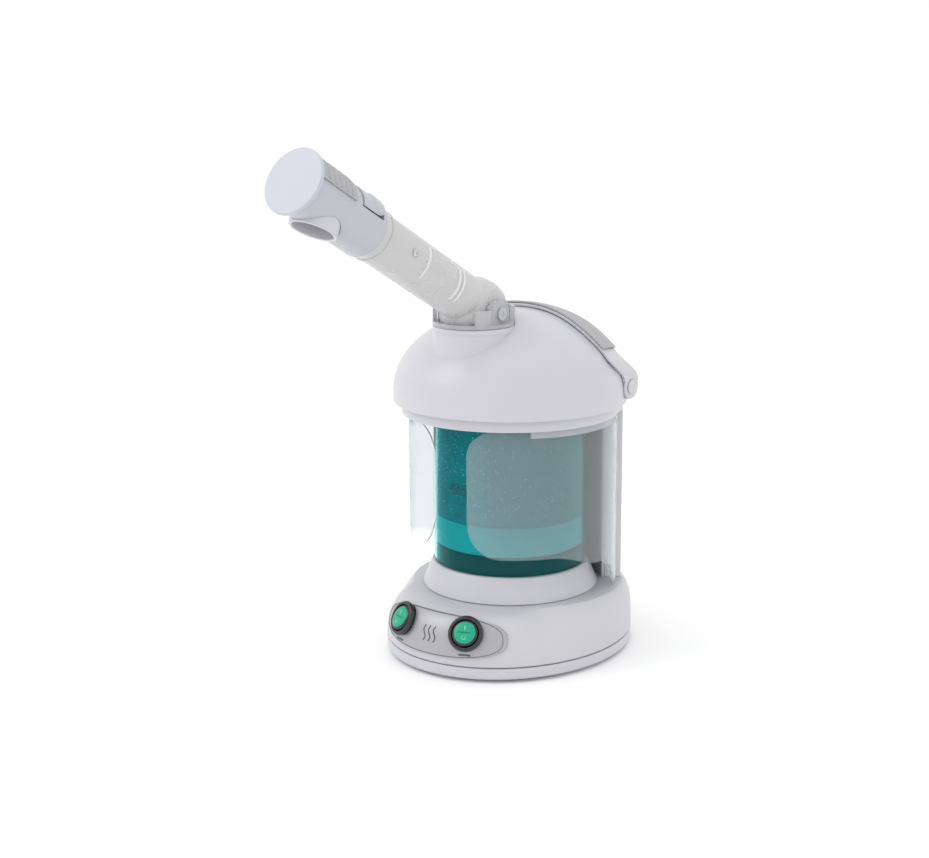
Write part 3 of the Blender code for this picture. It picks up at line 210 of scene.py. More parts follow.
@dataclass(frozen=True)
class Finish:
    """One moulded, cast or machined finish, made from the two shared groups."""

    name: str
    slot: str
    colour: tuple[float, float, float]
    roughness: float = 0.35
    metallic: float = 0.0
    grain: float = 900.0
    depth: float = 0.15
    drift: float = 0.03
    wear: float = 0.06
    coat: float = 0.0
    clear: float = 0.0
    ior: float = 1.45
    scatter: float = 0.0

    def build(self, grain: bpy.types.NodeTree, dust: bpy.types.NodeTree) -> bpy.types.Material:
        """Make the material.

        Args:
            grain: Shared moulding grain.
            dust: Shared handling wear.

        Returns:
            The finished material.
        """
        made = bpy.data.materials.new(self.name)
        made.use_nodes = True
        nodes, links = made.node_tree.nodes, made.node_tree.links
        shader = nodes["Principled BSDF"]
        texture = nodes.new("ShaderNodeGroup")
        texture.node_tree = grain
        texture.inputs["Colour"].default_value = (*self.colour, 1.0)
        texture.inputs["Scale"].default_value = self.grain
        texture.inputs["Depth"].default_value = self.depth
        texture.inputs["Roughness"].default_value = self.roughness
        texture.inputs["Drift"].default_value = self.drift
        worn = nodes.new("ShaderNodeGroup")
        worn.node_tree = dust
        worn.inputs["Amount"].default_value = self.wear
        worn.inputs["Worn"].default_value = (*(c * 0.86 for c in self.colour), 1.0)
        links.new(texture.outputs["Colour"], worn.inputs["Colour"])
        links.new(worn.outputs["Colour"], shader.inputs["Base Color"])
        links.new(texture.outputs["Roughness"], shader.inputs["Roughness"])
        links.new(texture.outputs["Normal"], shader.inputs["Normal"])
        shader.inputs["Metallic"].default_value = self.metallic
        shader.inputs["Coat Weight"].default_value = self.coat
        shader.inputs["Transmission Weight"].default_value = self.clear
        shader.inputs["IOR"].default_value = self.ior
        shader.inputs["Subsurface Weight"].default_value = self.scatter
        shader.inputs["Subsurface Radius"].default_value = (0.004, 0.004, 0.004)
        made["slot"] = self.slot
        return made


@dataclass
class Workshop:
    """The finishes, made once and handed out by name."""

    made: dict[str, bpy.types.Material] = field(default_factory=dict)

    def stock(self) -> None:
        """Mix every finish of the steamer."""
        grain, dust = grain_group(), dust_group()
        for finish in (
            Finish("lilac_white_shell", "white_shell", (0.56, 0.56, 0.60), 0.34, coat=0.15, scatter=0.05),
            # The column's white is lighter than the other white shells: painted light that lifts the rear
            # column and its lining out of the shade under the dome.
            Finish("column_painted_light_white", "white_shell", (0.66, 0.66, 0.69), 0.40, coat=0.05),
            Finish("deck_white", "white_shell", (0.56, 0.56, 0.59), 0.40, coat=0.05),
            Finish("nozzle_white", "white_shell", (0.47, 0.47, 0.52), 0.36, coat=0.10),
            Finish("cap_white", "white_shell", (0.50, 0.515, 0.57), 0.34, coat=0.1),
            Finish("grip_grey", "grey_soft", (0.40, 0.40, 0.42), 0.55, grain=1400.0, depth=0.35),
            Finish("inner_grey", "grey_soft", (0.45, 0.45, 0.47), 0.5),
            Finish("frosted_arm", "frosted", (0.80, 0.80, 0.80), 0.28, depth=0.2, clear=0.40, scatter=0.1),
            # The rib finish is lighter than the arm's: a painted highlight along the raised ribs.
            Finish("rib_painted_highlight", "frosted", (0.88, 0.88, 0.89), 0.22, depth=0.1, clear=0.2),
            Finish("frosted_collar", "frosted", (0.84, 0.84, 0.87), 0.22, depth=0.15, clear=0.62),
            Finish("frosted_shield", "shield_frost", (0.93, 0.955, 0.97), 0.16, grain=2200.0, depth=0.12,
                   drift=0.01,
                   wear=0.01, clear=0.90, ior=1.14),
            Finish("teal_jar", "teal_clear", (0.22, 0.88, 0.90), 0.04, depth=0.02, wear=0.02, clear=0.97,
                   ior=1.12),
            Finish("jar_water", "teal_clear", (0.01, 0.66, 0.68), 0.05, depth=0.02, wear=0.0, clear=0.40,
                   ior=1.1),
            Finish("water_drop", "teal_clear", (0.55, 0.90, 0.90), 0.1, depth=0.0, wear=0.0, clear=0.35,
                   ior=1.33),
            Finish("mist", "teal_clear", (0.01, 0.33, 0.38), 0.6, grain=500.0, depth=0.8, drift=0.3,
                   wear=0.3,
                   clear=0.35, ior=1.1),
            Finish("fill_mark", "teal_clear", (0.01, 0.10, 0.12), 0.5, depth=0.05),
            Finish("heater_metal", "heater_dark", (0.002, 0.010, 0.012), 0.5, 0.2, depth=0.3),
            Finish("panel_metal", "panel_silver", (0.42, 0.42, 0.435), 0.42, 0.45, grain=2600.0, depth=0.3),
            Finish("panel_print", "panel_silver", (0.10, 0.10, 0.11), 0.5, depth=0.05),
            Finish("switch_black", "switch_black", (0.012, 0.012, 0.012), 0.22, coat=0.5),
            Finish("lens_green", "lens_green", (0.001, 0.36, 0.20), 0.3, coat=0.1),
            Finish("lens_mark", "lens_green", (0.20, 0.68, 0.42), 0.4),
            Finish("soft_rubber", "rubber", (0.03, 0.03, 0.03), 0.75, depth=0.5),
            Finish("pale_seal", "rubber", (0.60, 0.62, 0.63), 0.6, depth=0.2),
            Finish("turned_steel", "steel", (0.58, 0.58, 0.58), 0.25, 1.0, grain=1800.0, depth=0.3),
            Finish("board_green", "board", (0.02, 0.18, 0.06), 0.45, depth=0.2),
            Finish("heater_copper", "copper", (0.62, 0.28, 0.15), 0.3, 1.0, depth=0.2),
            Finish("lamp_glass", "lamp_glass", (0.8, 0.85, 0.95), 0.05, depth=0.02, clear=0.9),
        ):
            self.made[finish.name] = finish.build(grain, dust)

    def __getitem__(self, name: str) -> bpy.types.Material:
        """A finish by its name."""
        return self.made[name]


# ------------------------------------------------------------------ mesh tools

def spread(start: float, end: float, count: int) -> list[float]:
    """Evenly spaced values from start to end, both included."""
    return [start + (end - start) * index / (count - 1) for index in range(count)]


def eased(x: float, stations: Sequence[tuple[float, float]]) -> float:
    """Value at x of a curve that eases from one (x, value) station to the next."""
    if x <= stations[0][0]:
        return stations[0][1]
    for (x0, v0), (x1, v1) in zip(stations, stations[1:]):
        if x <= x1:
            return v0 + (v1 - v0) * (1 - math.cos(math.pi * (x - x0) / (x1 - x0))) / 2
    return stations[-1][1]


def around(radius: float, angle: float, z: float) -> Vector:
    """Point at an angle in degrees from the front, turning towards +X."""
    turn = math.radians(angle)
    return Vector((radius * math.sin(turn), -radius * math.cos(turn), z))


def arc(centre: tuple[float, float], radius: float, start: float, end: float, count: int) -> Outline:
    """Points of a circular arc, angles in degrees."""
    return [(centre[0] + radius * math.cos(math.radians(a)), centre[1] + radius * math.sin(math.radians(a)))
            for a in spread(start, end, count)]


def soften(outline: Outline, radius: float, steps: int = 4) -> Outline:
    """Round every corner of a closed outline that doesn't lie on the axis.

    Args:
        outline: Corner points.
        radius: Distance from a corner at which its rounding starts.
        steps: Points on each rounding, less one.

    Returns:
        The rounded outline.
    """
    made: Outline = []
    for index, corner in enumerate(outline):
        before, after = Vector(outline[index - 1]), Vector(outline[(index + 1) % len(outline)])
        here = Vector(corner)
        into, out = before - here, after - here
        reach = min(radius, into.length * 0.45, out.length * 0.45)
        if corner[0] <= 1e-9 or reach <= 1e-7:
            made.append(corner)
            continue
        start, end = here + into.normalized() * reach, here + out.normalized() * reach
        for share in spread(0.0, 1.0, steps + 1):
            point = start * (1 - share) ** 2 + here * 2 * share * (1 - share) + end * share ** 2
            made.append((point.x, point.y))
    return made


def close_mesh(name: str, shape: bmesh.types.BMesh, place: Matrix, sharp: float = 35.0) -> bpy.types.Object:
    """Turn a bmesh into an object whose place is in its mesh.

    Args:
        name: Name of the piece.
        shape: Geometry, freed here.
        place: Where it goes.
        sharp: Angle in degrees past which an edge stays sharp.

    Returns:
        The object, shaded smooth.
    """
    bmesh.ops.remove_doubles(shape, verts=shape.verts, dist=0.001 * MM)
    stray = [edge for edge in shape.edges if not edge.link_faces]
    bmesh.ops.delete(shape, geom=stray, context="EDGES")
    bmesh.ops.recalc_face_normals(shape, faces=shape.faces)
    bmesh.ops.transform(shape, matrix=place, verts=shape.verts)
    mesh = bpy.data.meshes.new(name)
    shape.to_mesh(mesh)
    shape.free()
    mesh.shade_smooth()
    mesh.set_sharp_from_angle(angle=math.radians(sharp))
    made = bpy.data.objects.new(name, mesh)
    bpy.context.scene.collection.objects.link(made)
    return made


def skin(name: str, loops: Iterable[Loop], place: Matrix, ring: bool = False,
         sharp: float = 35.0) -> bpy.types.Object:
    """Skin a row of closed point loops.

    Args:
        name: Name of the piece.
        loops: Loops with the same number of points.
        place: Where it goes.
        ring: Join the last loop to the first instead of capping both.
        sharp: Angle in degrees past which an edge stays sharp.

    Returns:
        The object.
    """
    shape = bmesh.new()
    rows = [[shape.verts.new(point) for point in loop] for loop in loops]
    pairs = list(zip(rows, rows[1:])) + ([(rows[-1], rows[0])] if ring else [])
    for first, second in pairs:
        for index in range(len(first)):
            after = (index + 1) % len(first)
            shape.faces.new((first[index], first[after], second[after], second[index]))
    if not ring:
        shape.faces.new(rows[0])
        shape.faces.new(rows[-1])
    return close_mesh(name, shape, place, sharp)


def turned(name: str, outline: Outline, place: Matrix, segments: int = 96,
           sharp: float = 35.0) -> bpy.types.Object:
    """Closed (radius, height) outline turned about the local Z axis of its place."""
    loops = [[Vector((r * math.cos(t), r * math.sin(t), z)) for r, z in outline]
             for t in (2 * math.pi * index / segments for index in range(segments))]
    return skin(name, loops, place, ring=True, sharp=sharp)


def slab(name: str, outline: Outline, low: float, high: float, place: Matrix) -> bpy.types.Object:
    """(y, z) outline extruded along local X from low to high."""
    return skin(name, [[Vector((x, y, z)) for y, z in outline] for x in (low, high)], place)


def block(name: str, size: Sequence[float], centre: Sequence[float], place: Matrix) -> bpy.types.Object:
    """Box cutter round a centre."""
    x, y, z = (length / 2 for length in size)
    corners = [(-y, -z), (y, -z), (y, z), (-y, z)]
    return slab(name, corners, -x, x, place @ Matrix.Translation(centre))


def bake(piece: bpy.types.Object, sharp: float = 35.0) -> bpy.types.Object:
    """Turn an object's modifiers into its plain mesh."""
    mesh = bpy.data.meshes.new_from_object(piece.evaluated_get(bpy.context.evaluated_depsgraph_get()))
    piece.modifiers.clear()
    piece.data = mesh
    mesh.shade_smooth()
    mesh.set_sharp_from_angle(angle=math.radians(sharp))
    return piece


def combine(piece: bpy.types.Object, tools: Sequence[tuple[bpy.types.Object, Cut]],
            sharp: float = 35.0) -> bpy.types.Object:
    """Join tools to a piece or cut them from it, in order, then drop them.

    Args:
        piece: Target.
        tools: Each tool with what it does.
        sharp: Angle in degrees past which an edge stays sharp.

    Returns:
        The piece with a plain mesh.
    """
    for tool, cut in tools:
        change = piece.modifiers.new(cut.name, "BOOLEAN")
        change.operation = cut.value
        change.object = tool
        change.solver = "EXACT"
    bake(piece, sharp)
    for tool, _ in tools:
        bpy.data.objects.remove(tool, do_unlink=True)
    return piece


def dress(piece: bpy.types.Object, look: bpy.types.Material, body: Body, *nodes: str) -> bpy.types.Object:
    """Give a piece its finish, its body and the frame nodes that it stands for.

    Args:
        piece: Finished mesh.
        look: Its material.
        body: Body that it rides on.
        nodes: Frame nodes that it replaces.

    Returns:
        The piece.
    """
    piece.data.materials.clear()
    piece.data.materials.append(look)
    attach(piece, body.value)
    if nodes:
        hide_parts(*nodes)
    LOG.info("%s rides on %s, %d faces", piece.name, body.value, len(piece.data.polygons))
    return piece


# ------------------------------------------------------------------ geometry node trees

def repeat_tree() -> bpy.types.NodeTree:
    """Tree that repeats the given mesh along a line.

    Returns:
        Geometry Nodes group with inputs Count, Step and Material.
    """
    tree = bpy.data.node_groups.new("repeat_along_line", "GeometryNodeTree")
    face = tree.interface
    face.new_socket("Geometry", in_out="INPUT", socket_type="NodeSocketGeometry")
    face.new_socket("Count", in_out="INPUT", socket_type="NodeSocketInt").default_value = 5
    face.new_socket("Step", in_out="INPUT", socket_type="NodeSocketVector")
    face.new_socket("Material", in_out="INPUT", socket_type="NodeSocketMaterial")
    face.new_socket("Geometry", in_out="OUTPUT", socket_type="NodeSocketGeometry")
    nodes, links = tree.nodes, tree.links
    given, made = nodes.new("NodeGroupInput"), nodes.new("NodeGroupOutput")
    line = nodes.new("GeometryNodeMeshLine")
    links.new(given.outputs["Count"], line.inputs["Count"])
    links.new(given.outputs["Step"], line.inputs["Offset"])
    copies = nodes.new("GeometryNodeInstanceOnPoints")
    links.new(line.outputs["Mesh"], copies.inputs["Points"])
    links.new(given.outputs["Geometry"], copies.inputs["Instance"])
    real = nodes.new("GeometryNodeRealizeInstances")
    links.new(copies.outputs["Instances"], real.inputs["Geometry"])
    paint = nodes.new("GeometryNodeSetMaterial")
    links.new(real.outputs["Geometry"], paint.inputs["Geometry"])
    links.new(given.outputs["Material"], paint.inputs["Material"])
    links.new(paint.outputs["Geometry"], made.inputs["Geometry"])
    return tree


def droplet_tree() -> bpy.types.NodeTree:
    """Tree that scatters small drops over the given sheet.

    Returns:
        Geometry Nodes group with inputs Density, Radius, Seed and Material.
    """
    tree = bpy.data.node_groups.new("scattered_drops", "GeometryNodeTree")
    face = tree.interface
    face.new_socket("Geometry", in_out="INPUT", socket_type="NodeSocketGeometry")
    face.new_socket("Density", in_out="INPUT", socket_type="NodeSocketFloat").default_value = 9000.0
    face.new_socket("Radius", in_out="INPUT", socket_type="NodeSocketFloat").default_value = 0.6 * MM
    face.new_socket("Seed", in_out="INPUT", socket_type="NodeSocketInt").default_value = 7
    face.new_socket("Material", in_out="INPUT", socket_type="NodeSocketMaterial")
    face.new_socket("Geometry", in_out="OUTPUT", socket_type="NodeSocketGeometry")
    nodes, links = tree.nodes, tree.links
    given, made = nodes.new("NodeGroupInput"), nodes.new("NodeGroupOutput")
    points = nodes.new("GeometryNodeDistributePointsOnFaces")
    links.new(given.outputs["Geometry"], points.inputs["Mesh"])
    links.new(given.outputs["Density"], points.inputs["Density"])
    links.new(given.outputs["Seed"], points.inputs["Seed"])
    drop = nodes.new("GeometryNodeMeshIcoSphere")
    drop.inputs["Subdivisions"].default_value = 2
    links.new(given.outputs["Radius"], drop.inputs["Radius"])
    size = nodes.new("FunctionNodeRandomValue")
    size.data_type = "FLOAT"
    size.inputs[2].default_value = 0.35
    size.inputs[3].default_value = 1.0
    links.new(given.outputs["Seed"], size.inputs["Seed"])
    copies = nodes.new("GeometryNodeInstanceOnPoints")
    links.new(points.outputs["Points"], copies.inputs["Points"])
    links.new(drop.outputs["Mesh"], copies.inputs["Instance"])
    links.new(size.outputs[1], copies.inputs["Scale"])
    real = nodes.new("GeometryNodeRealizeInstances")
    links.new(copies.outputs["Instances"], real.inputs["Geometry"])
    paint = nodes.new("GeometryNodeSetMaterial")
    links.new(real.outputs["Geometry"], paint.inputs["Geometry"])
    links.new(given.outputs["Material"], paint.inputs["Material"])
    links.new(paint.outputs["Geometry"], made.inputs["Geometry"])
    return tree


def grow(piece: bpy.types.Object, tree: bpy.types.NodeTree, values: dict[str, object]) -> bpy.types.Object:
    """Run a Geometry Nodes tree on a piece and keep the plain mesh.

    Args:
        piece: Object whose mesh the tree starts from.
        tree: The tree.
        values: Inputs by name.

    Returns:
        The piece.
    """
    change = piece.modifiers.new(tree.name, "NODES")
    change.node_group = tree
    for socket in tree.interface.items_tree:
        if socket.item_type == "SOCKET" and socket.in_out == "INPUT" and socket.name in values:
            change[socket.identifier] = values[socket.name]
    return bake(piece)


# ------------------------------------------------------------------ places

@dataclass
class Places:
    """Frames of the sub-assemblies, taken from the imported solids."""

    root: Matrix = field(default_factory=Matrix)
    pivot: Vector = field(default_factory=Vector)
    tilt: Matrix = field(default_factory=Matrix)
    tube: Matrix = field(default_factory=Matrix)
    boss_y: float = -38.7 * MM
    arm_rise: float = 28.5
    tube_offset: float = 3.0 * MM

    def read(self) -> None:
        """Find the jar's axis and the elbow's pin in the frame."""
        low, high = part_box("water_jar")
        self.root = Matrix.Translation((0, (low[1] + high[1]) / 2, 0))
        low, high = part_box("elbow_pin")
        self.pivot = Vector((0, (low[1] + high[1]) / 2, (low[2] + high[2]) / 2))
        self.boss_y = self.pivot.y - self.root.translation.y
        self.tilt = Matrix.Translation(self.pivot) @ Matrix.Rotation(math.radians(90 - self.arm_rise), 4,
                                                                     "X")
        self.tube = self.tilt @ Matrix.Translation((0, self.tube_offset, 0))

    def on_tube(self, along: float, axis: str) -> Matrix:
        """Frame on the tube's axis, turned a quarter about its X or Y."""
        return self.tube @ Matrix.Translation((0, 0, along)) @ Matrix.Rotation(math.pi / 2, 4, axis)

    def across(self, x: float, y: float, z: float) -> Matrix:
        """Frame at a point of the root frame whose local Z runs along +X."""
        return self.root @ Matrix.Translation((x, y, z)) @ Matrix.Rotation(math.pi / 2, 4, "Y")


@dataclass
class BaseSurface:
    """Outer surface of the base: an elliptical foot drawn in to a round deck."""

    half_width: float = 78.5 * MM
    half_depth: float = 88.0 * MM
    deck_radius: float = 70.0 * MM
    deck_back: float = 9.0 * MM
    deck_z: float = 42.5 * MM
    wall_start_z: float = 12.0 * MM

    def foot(self, angle: float) -> float:
        """Radius of the elliptical outline."""
        turn = math.radians(angle)
        return 1 / math.hypot(math.sin(turn) / self.half_width, math.cos(turn) / self.half_depth)

    def deck(self, angle: float) -> float:
        """Distance from the jar axis to the deck's edge."""
        turn = math.radians(angle)
        return -self.deck_back * math.cos(turn) + math.sqrt(
            self.deck_radius ** 2 - (self.deck_back * math.sin(turn)) ** 2)

    def radius(self, angle: float, z: float) -> float:
        """Radius of the wall, full in the front console and upright at the back."""
        side = abs((angle + 180) % 360 - 180)
        fullness = eased(side, [(34, 3.0), (56, 1.15), (130, 1.4)])
        power = eased(side, [(34, 1.8), (56, 1.5), (125, 4.0)])
        share = min(max((z - self.wall_start_z) / (self.deck_z - self.wall_start_z), 0.0), 1.0)
        bulge = (1 - share ** power) ** (1 / fullness)
        return self.deck(angle) + (self.foot(angle) - self.deck(angle)) * bulge

    def point(self, angle: float, z: float, lift: float = 0.0) -> Vector:
        """Point on the wall, lifted along its outward normal."""
        here, normal = self.frame(angle, z)
        return here + normal * lift

    def frame(self, angle: float, z: float) -> tuple[Vector, Vector]:
        """Point on the wall and its outward normal."""
        turn, rise = 0.5, 0.4 * MM
        here = around(self.radius(angle, z), angle, z)
        along = around(self.radius(angle + turn, z), angle + turn, z) - around(
            self.radius(angle - turn, z), angle - turn, z)
        up = around(self.radius(angle, z + rise), angle, z + rise) - around(
            self.radius(angle, z - rise), angle, z - rise)
        return here, along.cross(up).normalized()


# ------------------------------------------------------------------ sub-assemblies

@dataclass
class BaseHousing:
    """Base shell and the tray below it."""

    surface: BaseSurface
    seam_z: float = 10.0 * MM
    wall: float = 3.2 * MM
    deck_plate: float = 2.6 * MM
    deck_hole: float = 50.0 * MM
    bottom_z: float = 2.0 * MM
    plate: float = 3.0 * MM
    rim_wall: float = 2.6 * MM
    columns: int = 180

    def shell(self, places: Places) -> bpy.types.Object:
        """Wall and deck with a rounded shoulder."""
        top = self.surface.deck_z
        low = self.seam_z + GAP
        rise = top - self.surface.wall_start_z
        levels = [low + 0.7 * MM, self.surface.wall_start_z] + [
            self.surface.wall_start_z + rise * math.sin(math.radians(a)) for a in spread(6, 90, 26)]
        loops = []
        for index in range(self.columns):
            angle = 360 * index / self.columns
            loop = [around(self.surface.radius(angle, z), angle, z) for z in levels]
            loop += [around(self.deck_hole, angle, top),
                     around(self.deck_hole, angle, top - self.deck_plate)]
            loop += [around(self.surface.radius(angle, z) - self.wall, angle, z)
                     for z in spread(top - self.deck_plate, low, 8)]
            loop.append(around(self.surface.radius(angle, low) - 0.7 * MM, angle, low))
            loops.append(loop)
        return skin("base_casing", loops, places.root, ring=True, sharp=50.0)

    def tray(self, places: Places) -> bpy.types.Object:
        """Bottom tray, its edges rounded, with its screw recesses."""
        loops = []
        for index in range(self.columns):
            angle = 360 * index / self.columns
            edge = self.surface.foot(angle)
            top = self.seam_z - GAP
            outline = [(0.0, self.bottom_z), (edge - 1.6 * MM, self.bottom_z),
                       (edge, self.bottom_z + 1.6 * MM),
                       (edge, top), (edge - self.rim_wall, top),
                       (edge - self.rim_wall, self.bottom_z + self.plate),
                       (0.0, self.bottom_z + self.plate)]
            loops.append([around(r, angle, z) for r, z in soften(outline, 0.8 * MM, 3)])
        tray = skin("base_tray", loops, places.root, ring=True)
        cutters = []
        for x in (-44 * MM, 44 * MM):
            for y in (-33.5 * MM, 33.5 * MM):
                hole = turned("screw_recess", [(0, 1 * MM), (3.3 * MM, 1 * MM), (3.3 * MM, 3.6 * MM),
                                               (1.6 * MM, 3.6 * MM), (1.6 * MM, 6 * MM), (0, 6 * MM)],
                              places.root @ Matrix.Translation((x, y, 0)), 24)
                cutters.append((hole, Cut.REMOVE))
        return combine(tray, cutters)

    def build(self, places: Places, shop: Workshop) -> None:
        """Both casings."""
        dress(self.shell(places), shop["deck_white"], Body.BASE, "base_shell")
        dress(self.tray(places), shop["lilac_white_shell"], Body.BASE, "bottom_cover")


@dataclass
class ControlPanel:
    """Oval metal panel, its generic print and two round rocker switches."""

    surface: BaseSurface
    half_angle: float = 35.5
    mid_z: float = 27.6 * MM
    half_height: float = 12.2 * MM
    squareness: float = 0.72
    lift: float = 0.7 * MM
    plate: float = 0.7 * MM
    switch_angle: float = 17.4
    switch_z: float = 30.6 * MM
    flange: float = 11.5 * MM
    barrel: float = 10.0 * MM
    rocker_radius: float = 8.4 * MM
    rocker_tilt: float = 6.0
    lens_radius: float = 7.0 * MM

    def spot(self, turn: float, share: float) -> tuple[float, float]:
        """Angle and height at a share of the way to the panel's squarish oval edge."""
        across, up = (math.copysign(abs(f) ** self.squareness, f) for f in (math.cos(turn), math.sin(turn)))
        return self.half_angle * share * across, self.mid_z + self.half_height * share * up

    def panel(self, places: Places) -> bpy.types.Object:
        """Plate that follows the front wall."""
        rings, spokes = 14, 120
        shape = bmesh.new()
        sheets = []
        for lift in (self.lift, self.lift + self.plate):
            edge_in = 1.0 if lift == self.lift else 0.985
            rows = []
            for ring in range(1, rings + 1):
                share = ring / rings * edge_in
                rows.append([shape.verts.new(self.surface.point(*self.spot(2 * math.pi * k / spokes, share),
                                                                lift))
                             for k in range(spokes)])
            sheets.append((rows, shape.verts.new(self.surface.point(0, self.mid_z, lift))))
        for rows, centre in sheets:
            for k in range(spokes):
                after = (k + 1) % spokes
                shape.faces.new((centre, rows[0][k], rows[0][after]))
                for inner, outer in zip(rows, rows[1:]):
                    shape.faces.new((inner[k], outer[k], outer[after], inner[after]))
        for k in range(spokes):
            after = (k + 1) % spokes
            low, high = sheets[0][0][-1], sheets[1][0][-1]
            shape.faces.new((low[k], low[after], high[after], high[k]))
        return close_mesh("front_panel", shape, places.root, 40.0)

    def stroke(self, name: str, path: Sequence[tuple[float, float]], width: float,
               places: Places) -> bpy.types.Object:
        """Thin printed stroke on the panel along (angle, height) points."""
        loops = []
        for index, (angle, z) in enumerate(path):
            a0, z0 = path[max(index - 1, 0)]
            a1, z1 = path[min(index + 1, len(path) - 1)]
            scale = math.radians(1) * self.surface.radius(angle, z)
            along = Vector(((a1 - a0) * scale, z1 - z0)).normalized()
            side = Vector((-along.y / scale, along.x)) * width / 2
            low, high = self.lift + self.plate, self.lift + self.plate + 0.12 * MM
            corners = ((-1, low - 0.1 * MM), (1, low - 0.1 * MM), (1, high), (-1, high))
            loops.append([self.surface.point(angle + side.x * s, z + side.y * s, lift) for s,
                          lift in corners])
        return skin(name, loops, places.root)

    def switch_place(self, side: int, places: Places, tilt: float = 0.0) -> Matrix:
        """Frame of a switch, its local Z along the wall's normal."""
        point, normal = self.surface.frame(side * self.switch_angle, self.switch_z)
        across = Vector((0, 0, 1)).cross(normal).normalized()
        turn = Matrix((across, normal.cross(across), normal)).transposed().to_4x4()
        return places.root @ Matrix.Translation(point) @ turn @ Matrix.Rotation(math.radians(tilt), 4, "X")

    def switch(self, side: int, use: str, body: Body, places: Places, shop: Workshop) -> None:
        """One bezel and its rocker."""
        seat = self.lift + self.plate + 1.0 * MM
        rim = seat + 2.4 * MM
        socket = self.rocker_radius + 0.6 * MM
        pivot = seat - 0.4 * MM
        bezel = [(0, -14 * MM), (self.barrel, -14 * MM), (self.barrel, seat), (self.flange, seat),
                 (self.flange, seat + 1.2 * MM), (self.flange - 0.9 * MM, rim), (socket, rim),
                 (socket, pivot - 4 * MM), (0, pivot - 4 * MM)]
        piece = turned(f"{use}_bezel", soften(bezel, 0.5 * MM), self.switch_place(side, places), 96)
        dress(piece, shop["switch_black"], Body.BASE, f"{use}_switch_body")
        place = self.switch_place(side, places) @ Matrix.Translation((0, 0, pivot)) @ Matrix.Rotation(
            math.radians(-self.rocker_tilt), 4, "X")
        radius = self.rocker_radius
        key = [(0, -2.4 * MM), (radius, -2.4 * MM), (radius, 2.4 * MM)]
        key += [(radius * math.cos(math.radians(a)), 2.4 * MM + 1.9 * MM * math.sin(math.radians(a)))
                for a in spread(14, 90, 10)]
        key[-1] = (0.0, key[-1][1])
        rocker = turned(f"{use}_key", key, place, 96)
        dress(rocker, shop["switch_black"], body, f"{use}_rocker")
        self.lens(use, body, place, shop)

    def lens(self, use: str, body: Body, place: Matrix, shop: Workshop) -> None:
        """Green lens set in the rocker, split across its middle, with an on bar and an off ring.

        Args:
            use: Name of the switch.
            body: Rocker's body.
            place: Rocker's frame.
            shop: Finishes.
        """
        radius, crown = self.lens_radius, 4.45 * MM
        dome = [(0, 2.2 * MM), (radius, 2.2 * MM), *((radius * math.cos(math.radians(a)), 3.5 * MM + (
            crown - 3.5 * MM) * math.sin(math.radians(a))) for a in spread(0, 90, 14))]
        dome[-1] = (0.0, crown)
        lens = turned(f"{use}_lens", dome, place, 96)
        groove = block("tool", (3 * radius, 0.45 * MM, 2 * MM), (0, 0, crown + 0.6 * MM), place)
        dress(combine(lens, [(groove, Cut.REMOVE)], 30.0), shop["lens_green"], body)
        top = crown - 0.25 * MM
        bar = block(f"{use}_on_bar", (0.7 * MM, 2.6 * MM, 0.7 * MM), (0, 3.1 * MM, top - 0.12 * MM), place)
        dress(bar, shop["lens_mark"], body)
        ring = turned(f"{use}_off_ring", arc((1.25 * MM, top - 0.1 * MM), 0.32 * MM, 0, 330, 12),
                      place @ Matrix.Translation((0, -3.1 * MM, 0)), 40)
        dress(ring, shop["lens_mark"], body)

    def build(self, places: Places, shop: Workshop) -> None:
        """Panel, print and switches."""
        panel = self.panel(places)
        holes = [(turned("switch_hole", [(0, -10 * MM), (self.barrel + 0.3 * MM, -10 * MM),
                                         (self.barrel + 0.3 * MM, 10 * MM), (0, 10 * MM)],
                         self.switch_place(side, places), 64), Cut.REMOVE) for side in (-1, 1)]
        dress(combine(panel, holes, 40.0), shop["panel_metal"], Body.BASE, "control_panel")
        for side, use, body in ((-1, "ozone", Body.OZONE_BUTTON), (1, "steam", Body.STEAM_BUTTON)):
            self.switch(side, use, body, places, shop)
            under = [(side * self.switch_angle + a, 18.3 * MM) for a in spread(-2.6, 2.6, 5)]
            dress(self.stroke(f"{use}_legend", under, 1.1 * MM, places), shop["panel_print"], Body.BASE)
        for index, offset in enumerate((-2.6, 0.0, 2.6)):
            wave = [(offset + 0.75 * math.sin(share * 2 * math.pi),
                     self.mid_z - 4.4 * MM + 8.8 * MM * share)
                    for share in spread(0, 1, 17)]
            dress(self.stroke(f"steam_wave_{index + 1}", wave, 0.8 * MM, places), shop["panel_print"],
                  Body.BASE)
        edge = [self.spot(turn, 0.94) for turn in spread(0, 2 * math.pi, 241)]
        dress(self.stroke("panel_border", edge, 0.35 * MM, places), shop["panel_print"], Body.BASE)


